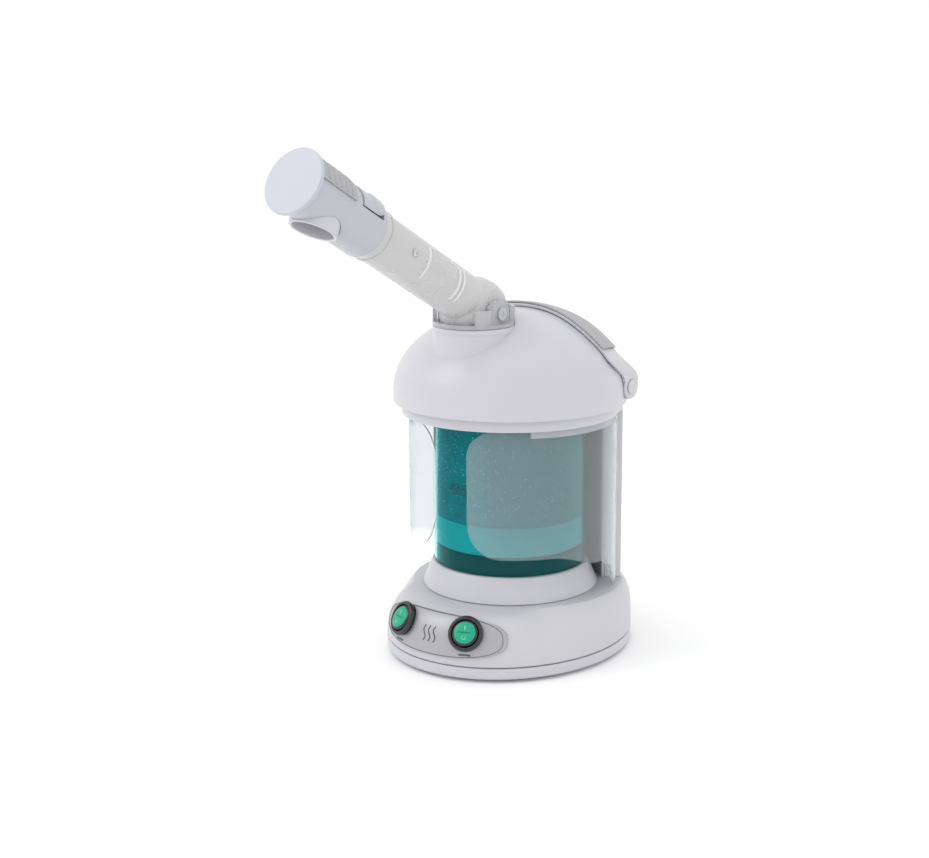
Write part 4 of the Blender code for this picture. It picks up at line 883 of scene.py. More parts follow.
@dataclass
class JarAssembly:
    """Cone, clear teal jar with water, heater plate, drops and the fill mark."""

    cone_foot: float = 58.5 * MM
    cone_top: float = 51.6 * MM
    cone_top_z: float = 59.0 * MM
    cone_wall: float = 2.4 * MM
    foot_z: float = 42.8 * MM
    radius: float = 50.5 * MM
    wall: float = 2.0 * MM
    top_z: float = 157.0 * MM
    heater_z: float = 72.0 * MM
    hub: float = 29.5 * MM
    water_z: float = 90.5 * MM
    mark_z: float = 111.0 * MM
    mark_angle: float = -5.0
    letter: float = 6.2 * MM
    film: float = 0.25 * MM
    seal_height: float = 3.4 * MM

    def build(self, places: Places, shop: Workshop, drops: bpy.types.NodeTree) -> None:
        """Every piece of the jar."""
        cone = [(self.cone_foot, self.foot_z), (self.cone_top, self.cone_top_z),
                (self.hub + GAP, self.cone_top_z),
                (self.hub + GAP, self.cone_top_z - self.cone_wall),
                (self.cone_top - self.cone_wall, self.cone_top_z - self.cone_wall),
                (self.cone_foot - self.cone_wall, self.foot_z)]
        dress(turned("jar_stand", soften(cone, 1.4 * MM), places.root, 128), shop["lilac_white_shell"],
              Body.BASE,
              "jar_cone")
        low, inside = self.cone_top_z + GAP, self.radius - self.wall
        jar = [(self.radius, low), (self.radius, self.top_z), (inside, self.top_z), (inside, low)]
        dress(turned("jar_wall", soften(jar, 0.7 * MM), places.root, 144), shop["teal_jar"], Body.BASE,
              "water_jar")
        edge, hub_low = inside - GAP, self.cone_top_z - 9 * MM
        plate = [(0, hub_low), (self.hub, hub_low), (self.hub, low), (edge, low),
                 (edge, self.heater_z - 2 * MM),
                 (edge - 3 * MM, self.heater_z), (0, self.heater_z)]
        dress(turned("heater_dish", soften(plate, 0.6 * MM), places.root, 128), shop["heater_metal"],
              Body.BASE,
              "heater_plate")
        skim, bottom = inside - 0.15 * MM, self.heater_z + 0.1 * MM
        water = [(0, bottom), (skim, bottom), (skim, self.water_z + 0.5 * MM),
                 (skim - 1.2 * MM, self.water_z),
                 (0, self.water_z)]
        dress(turned("water_fill", soften(water, 0.4 * MM), places.root, 144), shop["jar_water"], Body.BASE)
        seal_low = self.top_z + GAP
        seal = [(self.radius, seal_low), (self.radius, seal_low + self.seal_height),
                (inside, seal_low + self.seal_height), (inside, seal_low)]
        dress(turned("rim_seal", soften(seal, 0.9 * MM), places.root, 96), shop["pale_seal"], Body.BASE,
              "jar_seal")
        film_low, film_high = self.water_z + 0.6 * MM, self.top_z - 0.4 * MM
        film = [(skim, film_low), (skim, film_high), (skim - self.film, film_high),
                (skim - self.film, film_low)]
        dress(turned("mist_film", film, places.root, 128), shop["mist"], Body.BASE)
        self.marks(places, shop)
        self.legend(places, shop)
        self.condensation(places, shop, drops)

    def legend(self, places: Places, shop: Workshop) -> None:
        """The usual word for the highest filling, wrapped round the jar above its line."""
        text = bpy.data.curves.new("fill_word", "FONT")
        text.body, text.size, text.extrude = "MAX", self.letter, 0.08 * MM
        text.align_x = "CENTER"
        holder = bpy.data.objects.new("fill_word", text)
        bpy.context.scene.collection.objects.link(holder)
        mesh = bpy.data.meshes.new_from_object(holder.evaluated_get(bpy.context.evaluated_depsgraph_get()))
        bpy.data.objects.remove(holder, do_unlink=True)
        for vertex in mesh.vertices:
            across, up, out = vertex.co
            angle = self.mark_angle + math.degrees(across / self.radius)
            vertex.co = places.root @ around(self.radius + 0.06 * MM + out, angle,
                                             self.mark_z + 2.2 * MM + up)
        made = bpy.data.objects.new("fill_word", mesh)
        bpy.context.scene.collection.objects.link(made)
        dress(made, shop["fill_mark"], Body.BASE)

    def marks(self, places: Places, shop: Workshop) -> None:
        """Fill line with two shorter ticks below it, printed on the jar near the gap between the shields."""
        for index, (drop, half) in enumerate(((0.0, 7.0), (7 * MM, 3.0), (14 * MM, 3.0))):
            loops = []
            for angle in spread(self.mark_angle - half, self.mark_angle + half, 15):
                z = self.mark_z - drop
                outer = self.radius + 0.14 * MM
                corners = ((self.radius - 0.1 * MM, -0.45), (outer, -0.45), (outer, 0.45),
                           (self.radius - 0.1 * MM, 0.45))
                loops.append([around(r, angle, z + share * MM) for r, share in corners])
            dress(skin(f"fill_line_{index + 1}", loops, places.root), shop["fill_mark"], Body.BASE)

    def condensation(self, places: Places, shop: Workshop, drops: bpy.types.NodeTree) -> None:
        """Drops on the jar's inner wall above the water."""
        sheet = bmesh.new()
        inside = self.radius - self.wall - 0.1 * MM
        rows = [[sheet.verts.new(around(inside, a, z)) for a in range(-100, 101, 5)]
                for z in spread(self.water_z + 6 * MM, self.top_z - 4 * MM, 12)]
        for low, high in zip(rows, rows[1:]):
            for k in range(len(low) - 1):
                sheet.faces.new((low[k], low[k + 1], high[k + 1], high[k]))
        piece = close_mesh("condensation", sheet, places.root)
        grow(piece, drops,
             {"Density": 60000.0, "Radius": 0.6 * MM, "Seed": 11, "Material": shop["water_drop"]})
        dress(piece, shop["water_drop"], Body.BASE)


@dataclass
class ShieldPair:
    """Frosted shields round the jar and the brackets that hold them."""

    radius: float = 69.0 * MM
    back: float = 3.5 * MM
    wall: float = 2.0 * MM
    start: float = 11.3
    end: float = 123.0
    bottom_z: float = 75.0 * MM
    deck_z: float = 42.8 * MM
    top_z: float = 158.1 * MM
    corner: float = 22.0 * MM
    top_share: float = 0.75
    rows: int = 22

    def lower_edge(self, angle: float) -> float:
        """Lower edge, dropping to the deck at the rear leg."""
        return eased(angle, [(56, self.bottom_z), (92, self.bottom_z - 9 * MM), (118, self.deck_z)])

    def build(self, places: Places, shop: Workshop) -> None:
        """Both shields with softened edges, and both brackets."""
        turn_in = math.degrees(self.corner / self.radius)
        angles = [self.start + turn_in * (1 - math.cos(math.radians(a))) for a in spread(0, 90, 22)]
        angles += spread(self.start + turn_in, self.end, 70)[1:]
        place = places.root @ Matrix.Translation((0, self.back, 0))
        for side, hand in ((-1, "left"), (1, "right")):
            loops = []
            for angle in angles:
                inset = max(self.corner - math.radians(angle - self.start) * self.radius, 0.0)
                cut = self.corner - math.sqrt(max(self.corner ** 2 - inset ** 2, 0.0))
                heights = spread(self.lower_edge(angle) + cut, self.top_z - cut * self.top_share, self.rows)
                ease = 0.5 * MM
                outer = [around(self.radius - (ease if k in (0, self.rows - 1) else 0), side * angle, z)
                         for k, z in enumerate(heights)]
                inner = [around(self.radius - self.wall + (ease if k in (0, self.rows - 1) else 0),
                                side * angle, z)
                         for k, z in reversed(list(enumerate(heights)))]
                loops.append(outer + inner)
            dress(skin(f"frosted_wing_{hand}", loops, place, sharp=45.0), shop["frosted_shield"], Body.BASE,
                  f"shield_{hand}")
            outside = self.radius - self.wall - GAP
            low, mid, high = self.top_z - 5.1 * MM, self.top_z, self.top_z + 2.6 * MM
            band = [(outside, low), (outside, mid), (outside - 1.5 * MM, high), (outside - 3 * MM, high),
                    (outside - 3 * MM, low)]
            loops = [[around(r, side * angle, z) for r,
                      z in soften(band, 0.4 * MM)] for angle in spread(46, 118, 50)]
            dress(skin(f"wing_bracket_{hand}", loops, place), shop["lilac_white_shell"], Body.BASE,
                  f"shield_bracket_{hand}")


@dataclass
class RearColumn:
    """Column behind the jar with its shallow grip recess, and the ring on top of it."""

    radius: float = 74.7 * MM
    half_angle: float = 50.0
    wall: float = 2.5 * MM
    inner: float = 64.0 * MM
    recess: float = 1.4 * MM
    low_z: float = 42.8 * MM
    high_z: float = 158.1 * MM
    recess_low: float = 84.0 * MM
    recess_high: float = 121.0 * MM
    sheet: float = 1.8 * MM
    ring_low: float = 158.4 * MM
    ring_high: float = 165.7 * MM
    ring_radius: float = 71.0 * MM
    ring_hole: float = 46.0 * MM
    ring_plate: float = 4.7 * MM
    skirt: float = 1.8 * MM

    def depth(self, across: float, z: float) -> float:
        """Depth of the recess at a place on the column, with soft sides."""
        side = eased(across, [(0.66, 1.0), (0.8, 0.0)])
        rise = eased(z, [(self.recess_low - 3 * MM, 0.0), (self.recess_low, 1.0)])
        fall = eased(z, [(self.recess_high, 1.0), (self.recess_high + 3 * MM, 0.0)])
        return self.recess * side * rise * fall

    def column(self, places: Places) -> bpy.types.Object:
        """The channel-shaped column."""
        levels = sorted({round(z, 6) for z in (
            *spread(self.low_z, self.high_z, 26), *spread(self.recess_low - 3 * MM, self.recess_low, 6),
            *spread(self.recess_high, self.recess_high + 3 * MM, 6))})
        edge = math.degrees(self.wall / self.inner)
        back = self.radius - self.wall - self.recess
        loops = []
        for z in levels:
            loop = [around(self.radius - self.depth(abs(a - 180) / self.half_angle, z), a, z)
                    for a in spread(180 - self.half_angle, 180 + self.half_angle, 61)]
            loop += [around(self.inner, 180 + self.half_angle, z),
                     around(self.inner, 180 + self.half_angle - edge, z)]
            loop += [around(back, a, z) for a in spread(180 + self.half_angle - edge,
                                                        180 - self.half_angle + edge, 41)]
            loop += [around(self.inner, 180 - self.half_angle + edge, z),
                     around(self.inner, 180 - self.half_angle, z)]
            loops.append(loop)
        return skin("column_casing", loops, places.root)

    def edge(self, angle: float) -> float:
        """Radius of the ring, wider over the column."""
        from_back = abs((angle % 360) - 180)
        return eased(from_back, [(self.half_angle, self.radius), (self.half_angle + 12, self.ring_radius)])

    def build(self, places: Places, shop: Workshop) -> None:
        """Column, inner cover and ring."""
        # Column and lining take the lighter column white, painted light against the shade under the dome.
        dress(self.column(places), shop["column_painted_light_white"], Body.BASE, "rear_column")
        outer = self.inner - GAP
        section = soften([(outer, self.low_z), (outer, self.high_z), (outer - self.sheet, self.high_z),
                          (outer - self.sheet, self.low_z)], 0.3 * MM)
        loops = [[around(r, a, z) for r, z in section]
                 for a in spread(180 - self.half_angle, 180 + self.half_angle, 61)]
        dress(skin("column_lining", loops, places.root), shop["column_painted_light_white"], Body.BASE, "column_cover")
        under, loops = self.ring_high - self.ring_plate, []
        for index in range(180):
            angle = 2 * index
            edge = self.edge(angle)
            outline = [(edge, self.ring_low), (edge, self.ring_high), (self.ring_hole, self.ring_high),
                       (self.ring_hole, under), (edge - self.skirt, under),
                       (edge - self.skirt, self.ring_low)]
            loops.append([around(r, angle, z) for r, z in soften(outline, 0.8 * MM)])
        dress(skin("neck_ring", loops, places.root, ring=True), shop["lilac_white_shell"], Body.BASE,
              "top_ring")


@dataclass
class DomeLid:
    """Hinged dome with the arm's boss, its lugs and bosses."""

    radius: float = 76.5 * MM
    bottom_z: float = 166.0 * MM
    spring_z: float = 173.0 * MM
    rise: float = 53.0 * MM
    wall: float = 2.5 * MM
    boss_radius: float = 26.0 * MM
    boss_top: float = 220.0 * MM
    boss_wall: float = 1.6 * MM
    boss_lip: float = 2.5 * MM
    mouth: float = 22.9 * MM
    hinge_y: float = 81.7 * MM
    hinge_z: float = 168.0 * MM
    knuckle: float = 4.0 * MM
    knuckle_half: float = 7.7 * MM
    leaf_low: float = 152.4 * MM
    leaf_high: float = 158.4 * MM
    leaf_top: float = 164.1 * MM
    lug: float = 5.5 * MM
    pin: float = 1.6 * MM
    handle_y: float = 33.5 * MM
    handle_z: float = 177.2 * MM
    pad_radius: float = 8.3 * MM
    flat_radius: float = 9.5 * MM
    flat_x: float = 70.6 * MM

    def arch(self, inset: float, count: int) -> Outline:
        """Side outline from the spring line to the top."""
        made = [((self.radius - inset) * math.cos(math.radians(a)),
                 self.spring_z + (self.rise - inset) * math.sin(math.radians(a))) for a in spread(0, 90,
                                                                                                  count)]
        made[-1] = (0.0, made[-1][1])
        return made

    def handle_place(self, places: Places, side: int) -> Matrix:
        """Frame of one handle pivot, its Z pointing out to the side (-1 or 1)."""
        centre = Matrix.Translation((0, self.handle_y, self.handle_z))
        return places.root @ centre @ Matrix.Rotation(side * math.pi / 2, 4, "Y")

    def rod(self, radius: float, low: float, high: float, place: Matrix,
            segments: int = 64) -> bpy.types.Object:
        """Cylinder tool."""
        return turned("tool", [(0, low), (radius, low), (radius, high), (0, high)], place, segments)

    def dome(self, places: Places) -> bpy.types.Object:
        """The dome with everything moulded on it."""
        rim = arc((self.radius - 1.0 * MM, self.bottom_z + 1.0 * MM), 1.0 * MM, -90, 0, 6)
        outer = [(0, self.bottom_z), *rim, *self.arch(0, 48)]
        dome = turned("dome_casing", outer, places.root, 160, 30.0)
        boss_place = places.root @ Matrix.Translation((0, places.boss_y, 0))
        edge = 0.9 * MM
        boss = turned("tool", [(0, self.spring_z), (self.boss_radius, self.spring_z),
                               *arc((self.boss_radius - edge, self.boss_top - edge), edge, 0, 90, 6),
                               (0, self.boss_top)], boss_place, 96)
        tools = [(boss, Cut.JOIN)]
        for side in (-1, 1):
            place = self.handle_place(places, side)
            tools.append((self.rod(self.flat_radius, self.flat_x, self.flat_x + 10 * MM, place),
                          Cut.REMOVE))
            low = side * (self.knuckle_half + GAP)
            high = side * (self.knuckle_half + GAP + self.lug)
            outline = [(self.radius - 8 * MM, self.bottom_z + 0.6 * MM),
                       (self.hinge_y, self.bottom_z + 0.6 * MM),
                       *arc((self.hinge_y, self.hinge_z), self.knuckle, -30, 110, 20),
                       (self.radius - 8 * MM, self.hinge_z + 9 * MM)]
            tools.append((slab("tool", outline, min(low, high), max(low, high), places.root), Cut.JOIN))
        inner = [(0, self.bottom_z - 5 * MM), (self.radius - self.wall, self.bottom_z - 5 * MM),
                 *self.arch(self.wall, 40)]
        hollow = turned("tool", inner, places.root, 128)
        combine(hollow,
                [(self.rod(self.boss_radius + self.wall, self.boss_top - 6 * MM, self.boss_top + 10 * MM,
                                   boss_place, 72), Cut.REMOVE)])
        tools.append((hollow, Cut.REMOVE))
        tools.append((self.rod(self.boss_radius + GAP, self.boss_top - 0.05 * MM, self.boss_top + 20 * MM,
                               boss_place, 96), Cut.REMOVE))
        tools.append((self.rod(self.boss_radius - self.boss_wall, self.spring_z - 6 * MM,
                               self.boss_top - self.boss_lip, boss_place, 72), Cut.REMOVE))
        tools.append((self.rod(self.mouth, self.boss_top - 8 * MM, self.boss_top + 4 * MM, boss_place, 72),
                      Cut.REMOVE))
        tools.append((self.rod(self.pin + GAP, -30 * MM, 30 * MM,
                               places.across(0, self.hinge_y, self.hinge_z), 32),
                      Cut.REMOVE))
        for side in (-1, 1):
            place = self.handle_place(places, side)
            tools.append((self.rod(self.pad_radius, self.flat_x - 12 * MM, self.flat_x - GAP / 10, place),
                          Cut.JOIN))
            tools.append((self.rod(3.3 * MM, 55 * MM, self.flat_x + 3 * MM, place, 32), Cut.REMOVE))
        return combine(dome, tools, 30.0)

    def build(self, places: Places, shop: Workshop) -> None:
        """Dome, the line round its boss, the hinge bracket and its pin."""
        dress(self.dome(places), shop["lilac_white_shell"], Body.LID, "dome_shell")
        boss_place = places.root @ Matrix.Translation((0, places.boss_y, 0))
        bead = arc((self.boss_radius - 0.1 * MM, self.boss_top - 3.2 * MM), 0.35 * MM, 0, 315, 8)
        dress(turned("boss_bead", bead, boss_place, 96), shop["lilac_white_shell"], Body.LID)
        inner_y = 75.0 * MM
        outline = [(inner_y, self.leaf_low), (self.hinge_y - 1 * MM, self.leaf_low),
                   (self.hinge_y + self.knuckle, self.leaf_high),
                   *arc((self.hinge_y, self.hinge_z), self.knuckle, 0, 200, 24), (inner_y, self.leaf_top)]
        bracket = slab("hinge_block", outline, -self.knuckle_half, self.knuckle_half, places.root)
        bore = self.rod(self.pin + GAP, -30 * MM, 30 * MM, places.across(0, self.hinge_y, self.hinge_z), 32)
        dress(combine(bracket, [(bore, Cut.REMOVE)]), shop["lilac_white_shell"], Body.BASE, "hinge_bracket")
        reach = self.knuckle_half + GAP + self.lug
        pin = soften([(0, -reach), (self.pin, -reach), (self.pin, reach), (0, reach)], 0.4 * MM)
        dress(turned("hinge_axle", pin, places.across(0, self.hinge_y, self.hinge_z), 32),
              shop["turned_steel"],
              Body.BASE, "hinge_pin")


@dataclass
class CarryHandle:
    """Strap handle over the dome, its soft grip and its two pivots."""

    dome: DomeLid
    lift: float = 0.6 * MM
    thickness: float = 1.9 * MM
    end_x: float = 72.9 * MM
    end_radius: float = 8.0 * MM
    inset: float = 0.15 * MM
    strap_end: float = 81.0
    grip_end: float = 56.0
    grip_thickness: float = 1.5 * MM
    pin_radius: float = 3.0 * MM

    def front(self, beta: float) -> float:
        """Y of the strap's front edge by angle down from the top."""
        return eased(beta, [(0, 16 * MM), (45, 9 * MM), (62, 11 * MM),
                            (80, self.dome.handle_y - self.end_radius)])

    def width(self, beta: float) -> float:
        """Width of the strap."""
        return eased(beta, [(0, 20 * MM), (45, 21 * MM), (62, 22.5 * MM), (80, 2 * self.end_radius)])

    def point(self, beta: float, y: float, lift: float, plane: float) -> Vector:
        """Point over the dome, easing to an upright plane beside the end disc."""
        radius = self.dome.radius + lift
        flank = math.sqrt(radius ** 2 - y ** 2)
        turn = math.radians(beta)
        x = flank * math.sin(turn)
        ease = eased(abs(beta), [(58.0, 0.0), (76.0, 1.0)])
        z = self.dome.spring_z + (self.dome.rise + lift) * flank / radius * math.cos(turn)
        return Vector((x + (math.copysign(plane, beta) - x) * ease, y, z))

    def section(self, beta: float, low: float, high: float, crown: float = 0.0) -> Loop:
        """Rounded cross-section of the strap between two lifts, optionally crowned along its middle."""
        front, width = self.front(abs(beta)), self.width(abs(beta))
        inside, outside = self.dome.flat_x + GAP + self.inset, self.end_x - self.inset
        edge = (high - low) * 0.42
        under = [self.point(beta, y, low, inside) for y in spread(front + 0.2 * MM,
                                                                  front + width - 0.2 * MM, 12)]
        rear = [self.point(beta, front + width - edge + edge * math.cos(a),
                           high - edge + edge * math.sin(a), outside)
                for a in spread(-0.4, math.pi / 2, 6)]
        middle = []
        for y in spread(front + width - edge, front + edge, 12)[1:-1]:
            share = (y - front) / width
            middle.append(self.point(beta, y, high + crown * math.sin(math.pi * share), outside))
        nose = [self.point(beta, front + edge - edge * math.cos(a), high - edge + edge * math.sin(a),
                           outside)
                for a in spread(math.pi / 2, -0.4, 6)]
        return under + rear + middle + nose

    def build(self, places: Places, shop: Workshop) -> None:
        """Strap, grip and pivots."""
        low, high = self.lift, self.lift + self.thickness
        strap = skin("carry_strap",
                     [self.section(b, low, high) for b in spread(-self.strap_end, self.strap_end, 121)],
                     places.root, sharp=40.0)
        inner_x = self.dome.flat_x + GAP
        tools = []
        for side in (-1, 1):
            place = self.dome.handle_place(places, side)
            disc = soften([(0, inner_x), (self.end_radius, inner_x), (self.end_radius, self.end_x),
                           (0, self.end_x)],
                          0.7 * MM)
            tools.append((turned("tool", disc, place, 64), Cut.JOIN))
        for side in (-1, 1):
            place = self.dome.handle_place(places, side)
            tools.append((self.dome.rod(self.pin_radius + GAP, inner_x - 3 * MM, self.end_x + 3 * MM, place,
                                        40),
                          Cut.REMOVE))
        dress(combine(strap, tools, 40.0), shop["lilac_white_shell"], Body.HANDLE, "carry_handle")
        grip_low = high + GAP
        loops = [self.section(b, grip_low, grip_low + self.grip_thickness * 0.85,
                              self.grip_thickness * 0.15)
                 for b in spread(-self.grip_end, self.grip_end, 81)]
        dress(skin("soft_grip", loops, places.root, sharp=40.0), shop["grip_grey"], Body.HANDLE,
              "handle_grip")
        face = self.end_x + GAP
        pin = soften([(0, 60 * MM), (self.pin_radius, 60 * MM), (self.pin_radius, face), (5 * MM, face),
                      (5 * MM, face + 0.8 * MM), (0, face + 0.8 * MM)], 0.35 * MM)
        for side, hand in ((-1, "left"), (1, "right")):
            place = self.dome.handle_place(places, side)
            dress(turned(f"strap_pivot_{hand}", pin, place, 48), shop["lilac_white_shell"], Body.LID,
                  f"handle_pivot_{hand}")


@dataclass
class SwivelCollar:
    """Frosted collar with two ears for the elbow, its pin and cap."""

    dome: DomeLid
    top_z: float = 232.0 * MM
    wall: float = 2.5 * MM
    flange: float = 2.2 * MM
    spigot: float = 22.6 * MM
    spigot_wall: float = 1.3 * MM
    spigot_low: float = 211.5 * MM
    inner_x: float = 16.6 * MM
    outer_x: float = 21.5 * MM
    ear: float = 9.0 * MM
    pin: float = 2.5 * MM
    head: float = 4.0 * MM

    def build(self, places: Places, shop: Workshop, repeat: bpy.types.NodeTree) -> None:
        """Collar, pin, cap and the small ribs inside the wall."""
        pivot = Matrix.Translation(places.pivot)
        level = places.pivot.z
        foot, radius = self.dome.boss_top + GAP, self.dome.boss_radius
        bore, neck = radius - self.wall, self.spigot - self.spigot_wall
        outline = [(radius, foot), (radius, self.top_z), (bore, self.top_z), (bore, foot + self.flange),
                   (neck, foot + self.flange), (neck, self.spigot_low), (self.spigot, self.spigot_low),
                   (self.spigot, foot)]
        collar = turned("turning_collar", [(r, z - level) for r, z in soften(outline, 0.5 * MM)], pivot,
                        112)
        floor = foot + self.flange - level
        tools = []
        for side in (-1, 1):
            outline = [(self.ear, floor - 1 * MM), *arc((0, 0), self.ear, 0, 180, 33),
                       (-self.ear, floor - 1 * MM)]
            low, high = sorted((side * self.inner_x, side * self.outer_x))
            tools.append((slab("tool", outline, low, high, pivot), Cut.JOIN))
            tools.append((block("tool", (20 * MM, 60 * MM, 30 * MM),
                                (side * (self.outer_x + 10 * MM), 0, floor + 15 * MM), pivot), Cut.REMOVE))
        depth = radius + 10 * MM
        tools.append((block("tool", (2 * self.inner_x, depth, 30 * MM),
                            (0, -6 * MM - depth / 2, floor + 15.4 * MM), pivot), Cut.REMOVE))
        bore_place = pivot @ Matrix.Rotation(math.pi / 2, 4, "Y")
        tools.append((self.dome.rod(self.pin + GAP, -40 * MM, 40 * MM, bore_place, 40), Cut.REMOVE))
        dress(combine(collar, tools), shop["frosted_collar"], Body.COLLAR, "swivel_collar")
        face = self.outer_x + GAP
        shaft = [(0, -self.outer_x), (self.pin, -self.outer_x), (self.pin, face), (self.head, face),
                 (self.head, face + 1.5 * MM), (1.3 * MM, face + 1.5 * MM), (1.3 * MM, face + 0.9 * MM),
                 (0, face + 0.9 * MM)]
        dress(turned("elbow_axle", soften(shaft, 0.4 * MM), bore_place, 48), shop["nozzle_white"],
              Body.COLLAR,
              "elbow_pin")
        cap = soften([(0, face), (self.head, face), (self.head, face + 1.5 * MM), (0, face + 1.5 * MM)],
                     0.5 * MM)
        dress(turned("axle_cap", cap, pivot @ Matrix.Rotation(-math.pi / 2, 4, "Y"), 48),
              shop["nozzle_white"],
              Body.COLLAR, "pin_cap")
        rib = block("collar_ribs", (0.7 * MM, 0.8 * MM, 6.5 * MM),
                    (-12 * MM, bore - 2.2 * MM, floor + 4 * MM), pivot)
        grow(rib, repeat,
             {"Count": 9, "Step": Vector((3.0 * MM, 0, 0)), "Material": shop["frosted_collar"]})
        dress(rib, shop["frosted_collar"], Body.COLLAR)


@dataclass
class SteamArm:
    """Elbow head with its tube, the sliding inner tube and its cuff."""

    dome: DomeLid
    head: float = 22.0 * MM
    half_width: float = 16.0 * MM
    head_wall: float = 2.4 * MM
    tube: float = 15.4 * MM
    wall: float = 2.0 * MM
    length: float = 108.0 * MM
    screw_at: float = 87.0 * MM
    slot_half: float = 11.0 * MM
    inner: float = 13.1 * MM
    inner_wall: float = 1.6 * MM
    slide_start: float = 52.0 * MM
    cuff: float = 16.2 * MM
    cuff_length: float = 9.4 * MM
    nozzle_start: float = 118.3 * MM
    nozzle_plate: float = 2.6 * MM

    def ball(self, name: str, radius: float, half: float, place: Matrix, edge: float) -> bpy.types.Object:
        """Ball cut flat at both ends, with softened rims."""
        limit = math.degrees(math.asin(half / radius))
        side = [(radius * math.cos(math.radians(a)), radius * math.sin(math.radians(a)))
                for a in spread(-limit, limit, 31)]
        outline: Outline = [(0, -half), (side[0][0] - edge, -half), *side[1:-1], (side[-1][0] - edge, half),
                            (0, half)]
        return turned(name, outline, place @ Matrix.Rotation(math.pi / 2, 4, "Y"), 96)

    def arm(self, places: Places) -> bpy.types.Object:
        """Head and tube in one moulding."""
        arm = self.ball("elbow_moulding", self.head, self.half_width, places.tilt, 0.6 * MM)
        rod = self.dome.rod
        tube_outline = [(0, 2 * MM), (self.tube, 2 * MM),
                        *arc((self.tube - 0.6 * MM, self.length - 0.6 * MM),
                                                               0.6 * MM, 0, 90, 5), (0, self.length)]
        slot = [(0.0, 0.0), *arc((0, 0), self.head + 6 * MM, -184, -96, 24)]
        screw_place = places.on_tube(self.screw_at, "Y")
        tools = [
            (turned("tool", tube_outline, places.tube, 88), Cut.JOIN),
            (self.ball("tool", self.head - self.head_wall, self.half_width - self.head_wall, places.tilt,
                       0.0),
             Cut.REMOVE),
            (rod(self.tube - self.wall, 0, self.length + 10 * MM, places.tube, 80), Cut.REMOVE),
            (slab("tool", slot, -self.slot_half, self.slot_half, places.tilt), Cut.REMOVE),
            (rod(1.6 * MM, 0, self.tube + 4 * MM, screw_place, 24), Cut.REMOVE),
            (rod(2.8 * MM, -40 * MM, 40 * MM, places.tilt @ Matrix.Rotation(math.pi / 2, 4, "Y"), 40),
             Cut.REMOVE),
        ]
        return combine(arm, tools, 32.0)

    def rib(self, name: str, along: float, turn: float, places: Places) -> bpy.types.Object:
        """Raised rib on one flank of the tube, its ends drawn in.

        Args:
            name: Name of the piece.
            along: Distance along the tube.
            turn: Angle of its middle, in degrees from +X.
            places: Frames.

        Returns:
            The rib.
        """
        loops = []
        for share in spread(-1, 1, 33):
            angle = math.radians(turn + 42 * share)
            size = 0.95 * MM * math.sqrt(max(1 - share ** 8, 0.03))
            loops.append([Vector(((self.tube + dr) * math.cos(angle), (self.tube + dr) * math.sin(angle),
                                  along + dz))
                          for dr, dz in arc((0, 0), size, 0, 330, 12)])
        return skin(name, loops, places.tube)

    def build(self, places: Places, shop: Workshop, repeat: bpy.types.NodeTree) -> None:
        """Arm, its ribs and screw, the inner tube and the cuff."""
        dress(self.arm(places), shop["frosted_arm"], Body.ARM, "elbow_arm")
        step = places.tube.to_3x3() @ Vector((0, 0, 4.4 * MM))
        for start, turn, hand in ((36.0 * MM, 0.0, "right"), (36.0 * MM, 180.0, "left")):
            # The ribs get the lighter rib finish, a painted highlight along them.
            bead = self.rib(f"arm_ribs_{hand}", start, turn, places)
            grow(bead, repeat, {"Count": 2, "Step": step, "Material": shop["rib_painted_highlight"]})
            dress(bead, shop["rib_painted_highlight"], Body.ARM)
            dress(self.rib(f"arm_rib_outer_{hand}", 73.0 * MM, turn, places), shop["rib_painted_highlight"], Body.ARM)
        face = self.tube + 0.2 * MM
        screw = [(0, self.tube - self.wall + GAP), (1.3 * MM, self.tube - self.wall + GAP),
                 (1.3 * MM, face),
                 (2.4 * MM, face), (2.4 * MM, face + 0.5 * MM), (1.5 * MM, face + 1.1 * MM),
                 (0.6 * MM, face + 1.1 * MM),
                 (0.6 * MM, face + 0.5 * MM), (0, face + 0.5 * MM)]
        screw_place = places.on_tube(self.screw_at, "Y")
        dress(turned("tube_screw", soften(screw, 0.25 * MM), screw_place, 32), shop["turned_steel"],
              Body.ARM,
              "arm_screw")
        flange = self.nozzle_start + self.nozzle_plate + GAP
        bore, end = self.inner - self.inner_wall, flange + 2 * MM
        tube = [(bore, self.slide_start), (self.inner, self.slide_start), (self.inner, flange),
                (self.inner + 1.1 * MM, flange), (self.inner + 1.1 * MM, end), (bore, end)]
        dress(turned("sliding_tube", soften(tube, 0.3 * MM), places.tube, 80), shop["frosted_arm"],
              Body.SLIDE,
              "inner_tube")
        start, inside = self.length + GAP, self.inner + GAP
        finish = start + self.cuff_length
        rim = self.cuff
        cuff = [(inside, start), (rim, start), (rim, start + 3.2 * MM), (rim - 0.8 * MM, start + 3.4 * MM),
                (rim - 0.8 * MM, start + 4.6 * MM), (rim, start + 4.8 * MM), (rim, finish),
                (inside, finish)]
        dress(turned("tube_cuff", soften(cuff, 0.5 * MM), places.tube, 96), shop["frosted_arm"], Body.SLIDE,
              "arm_cuff")


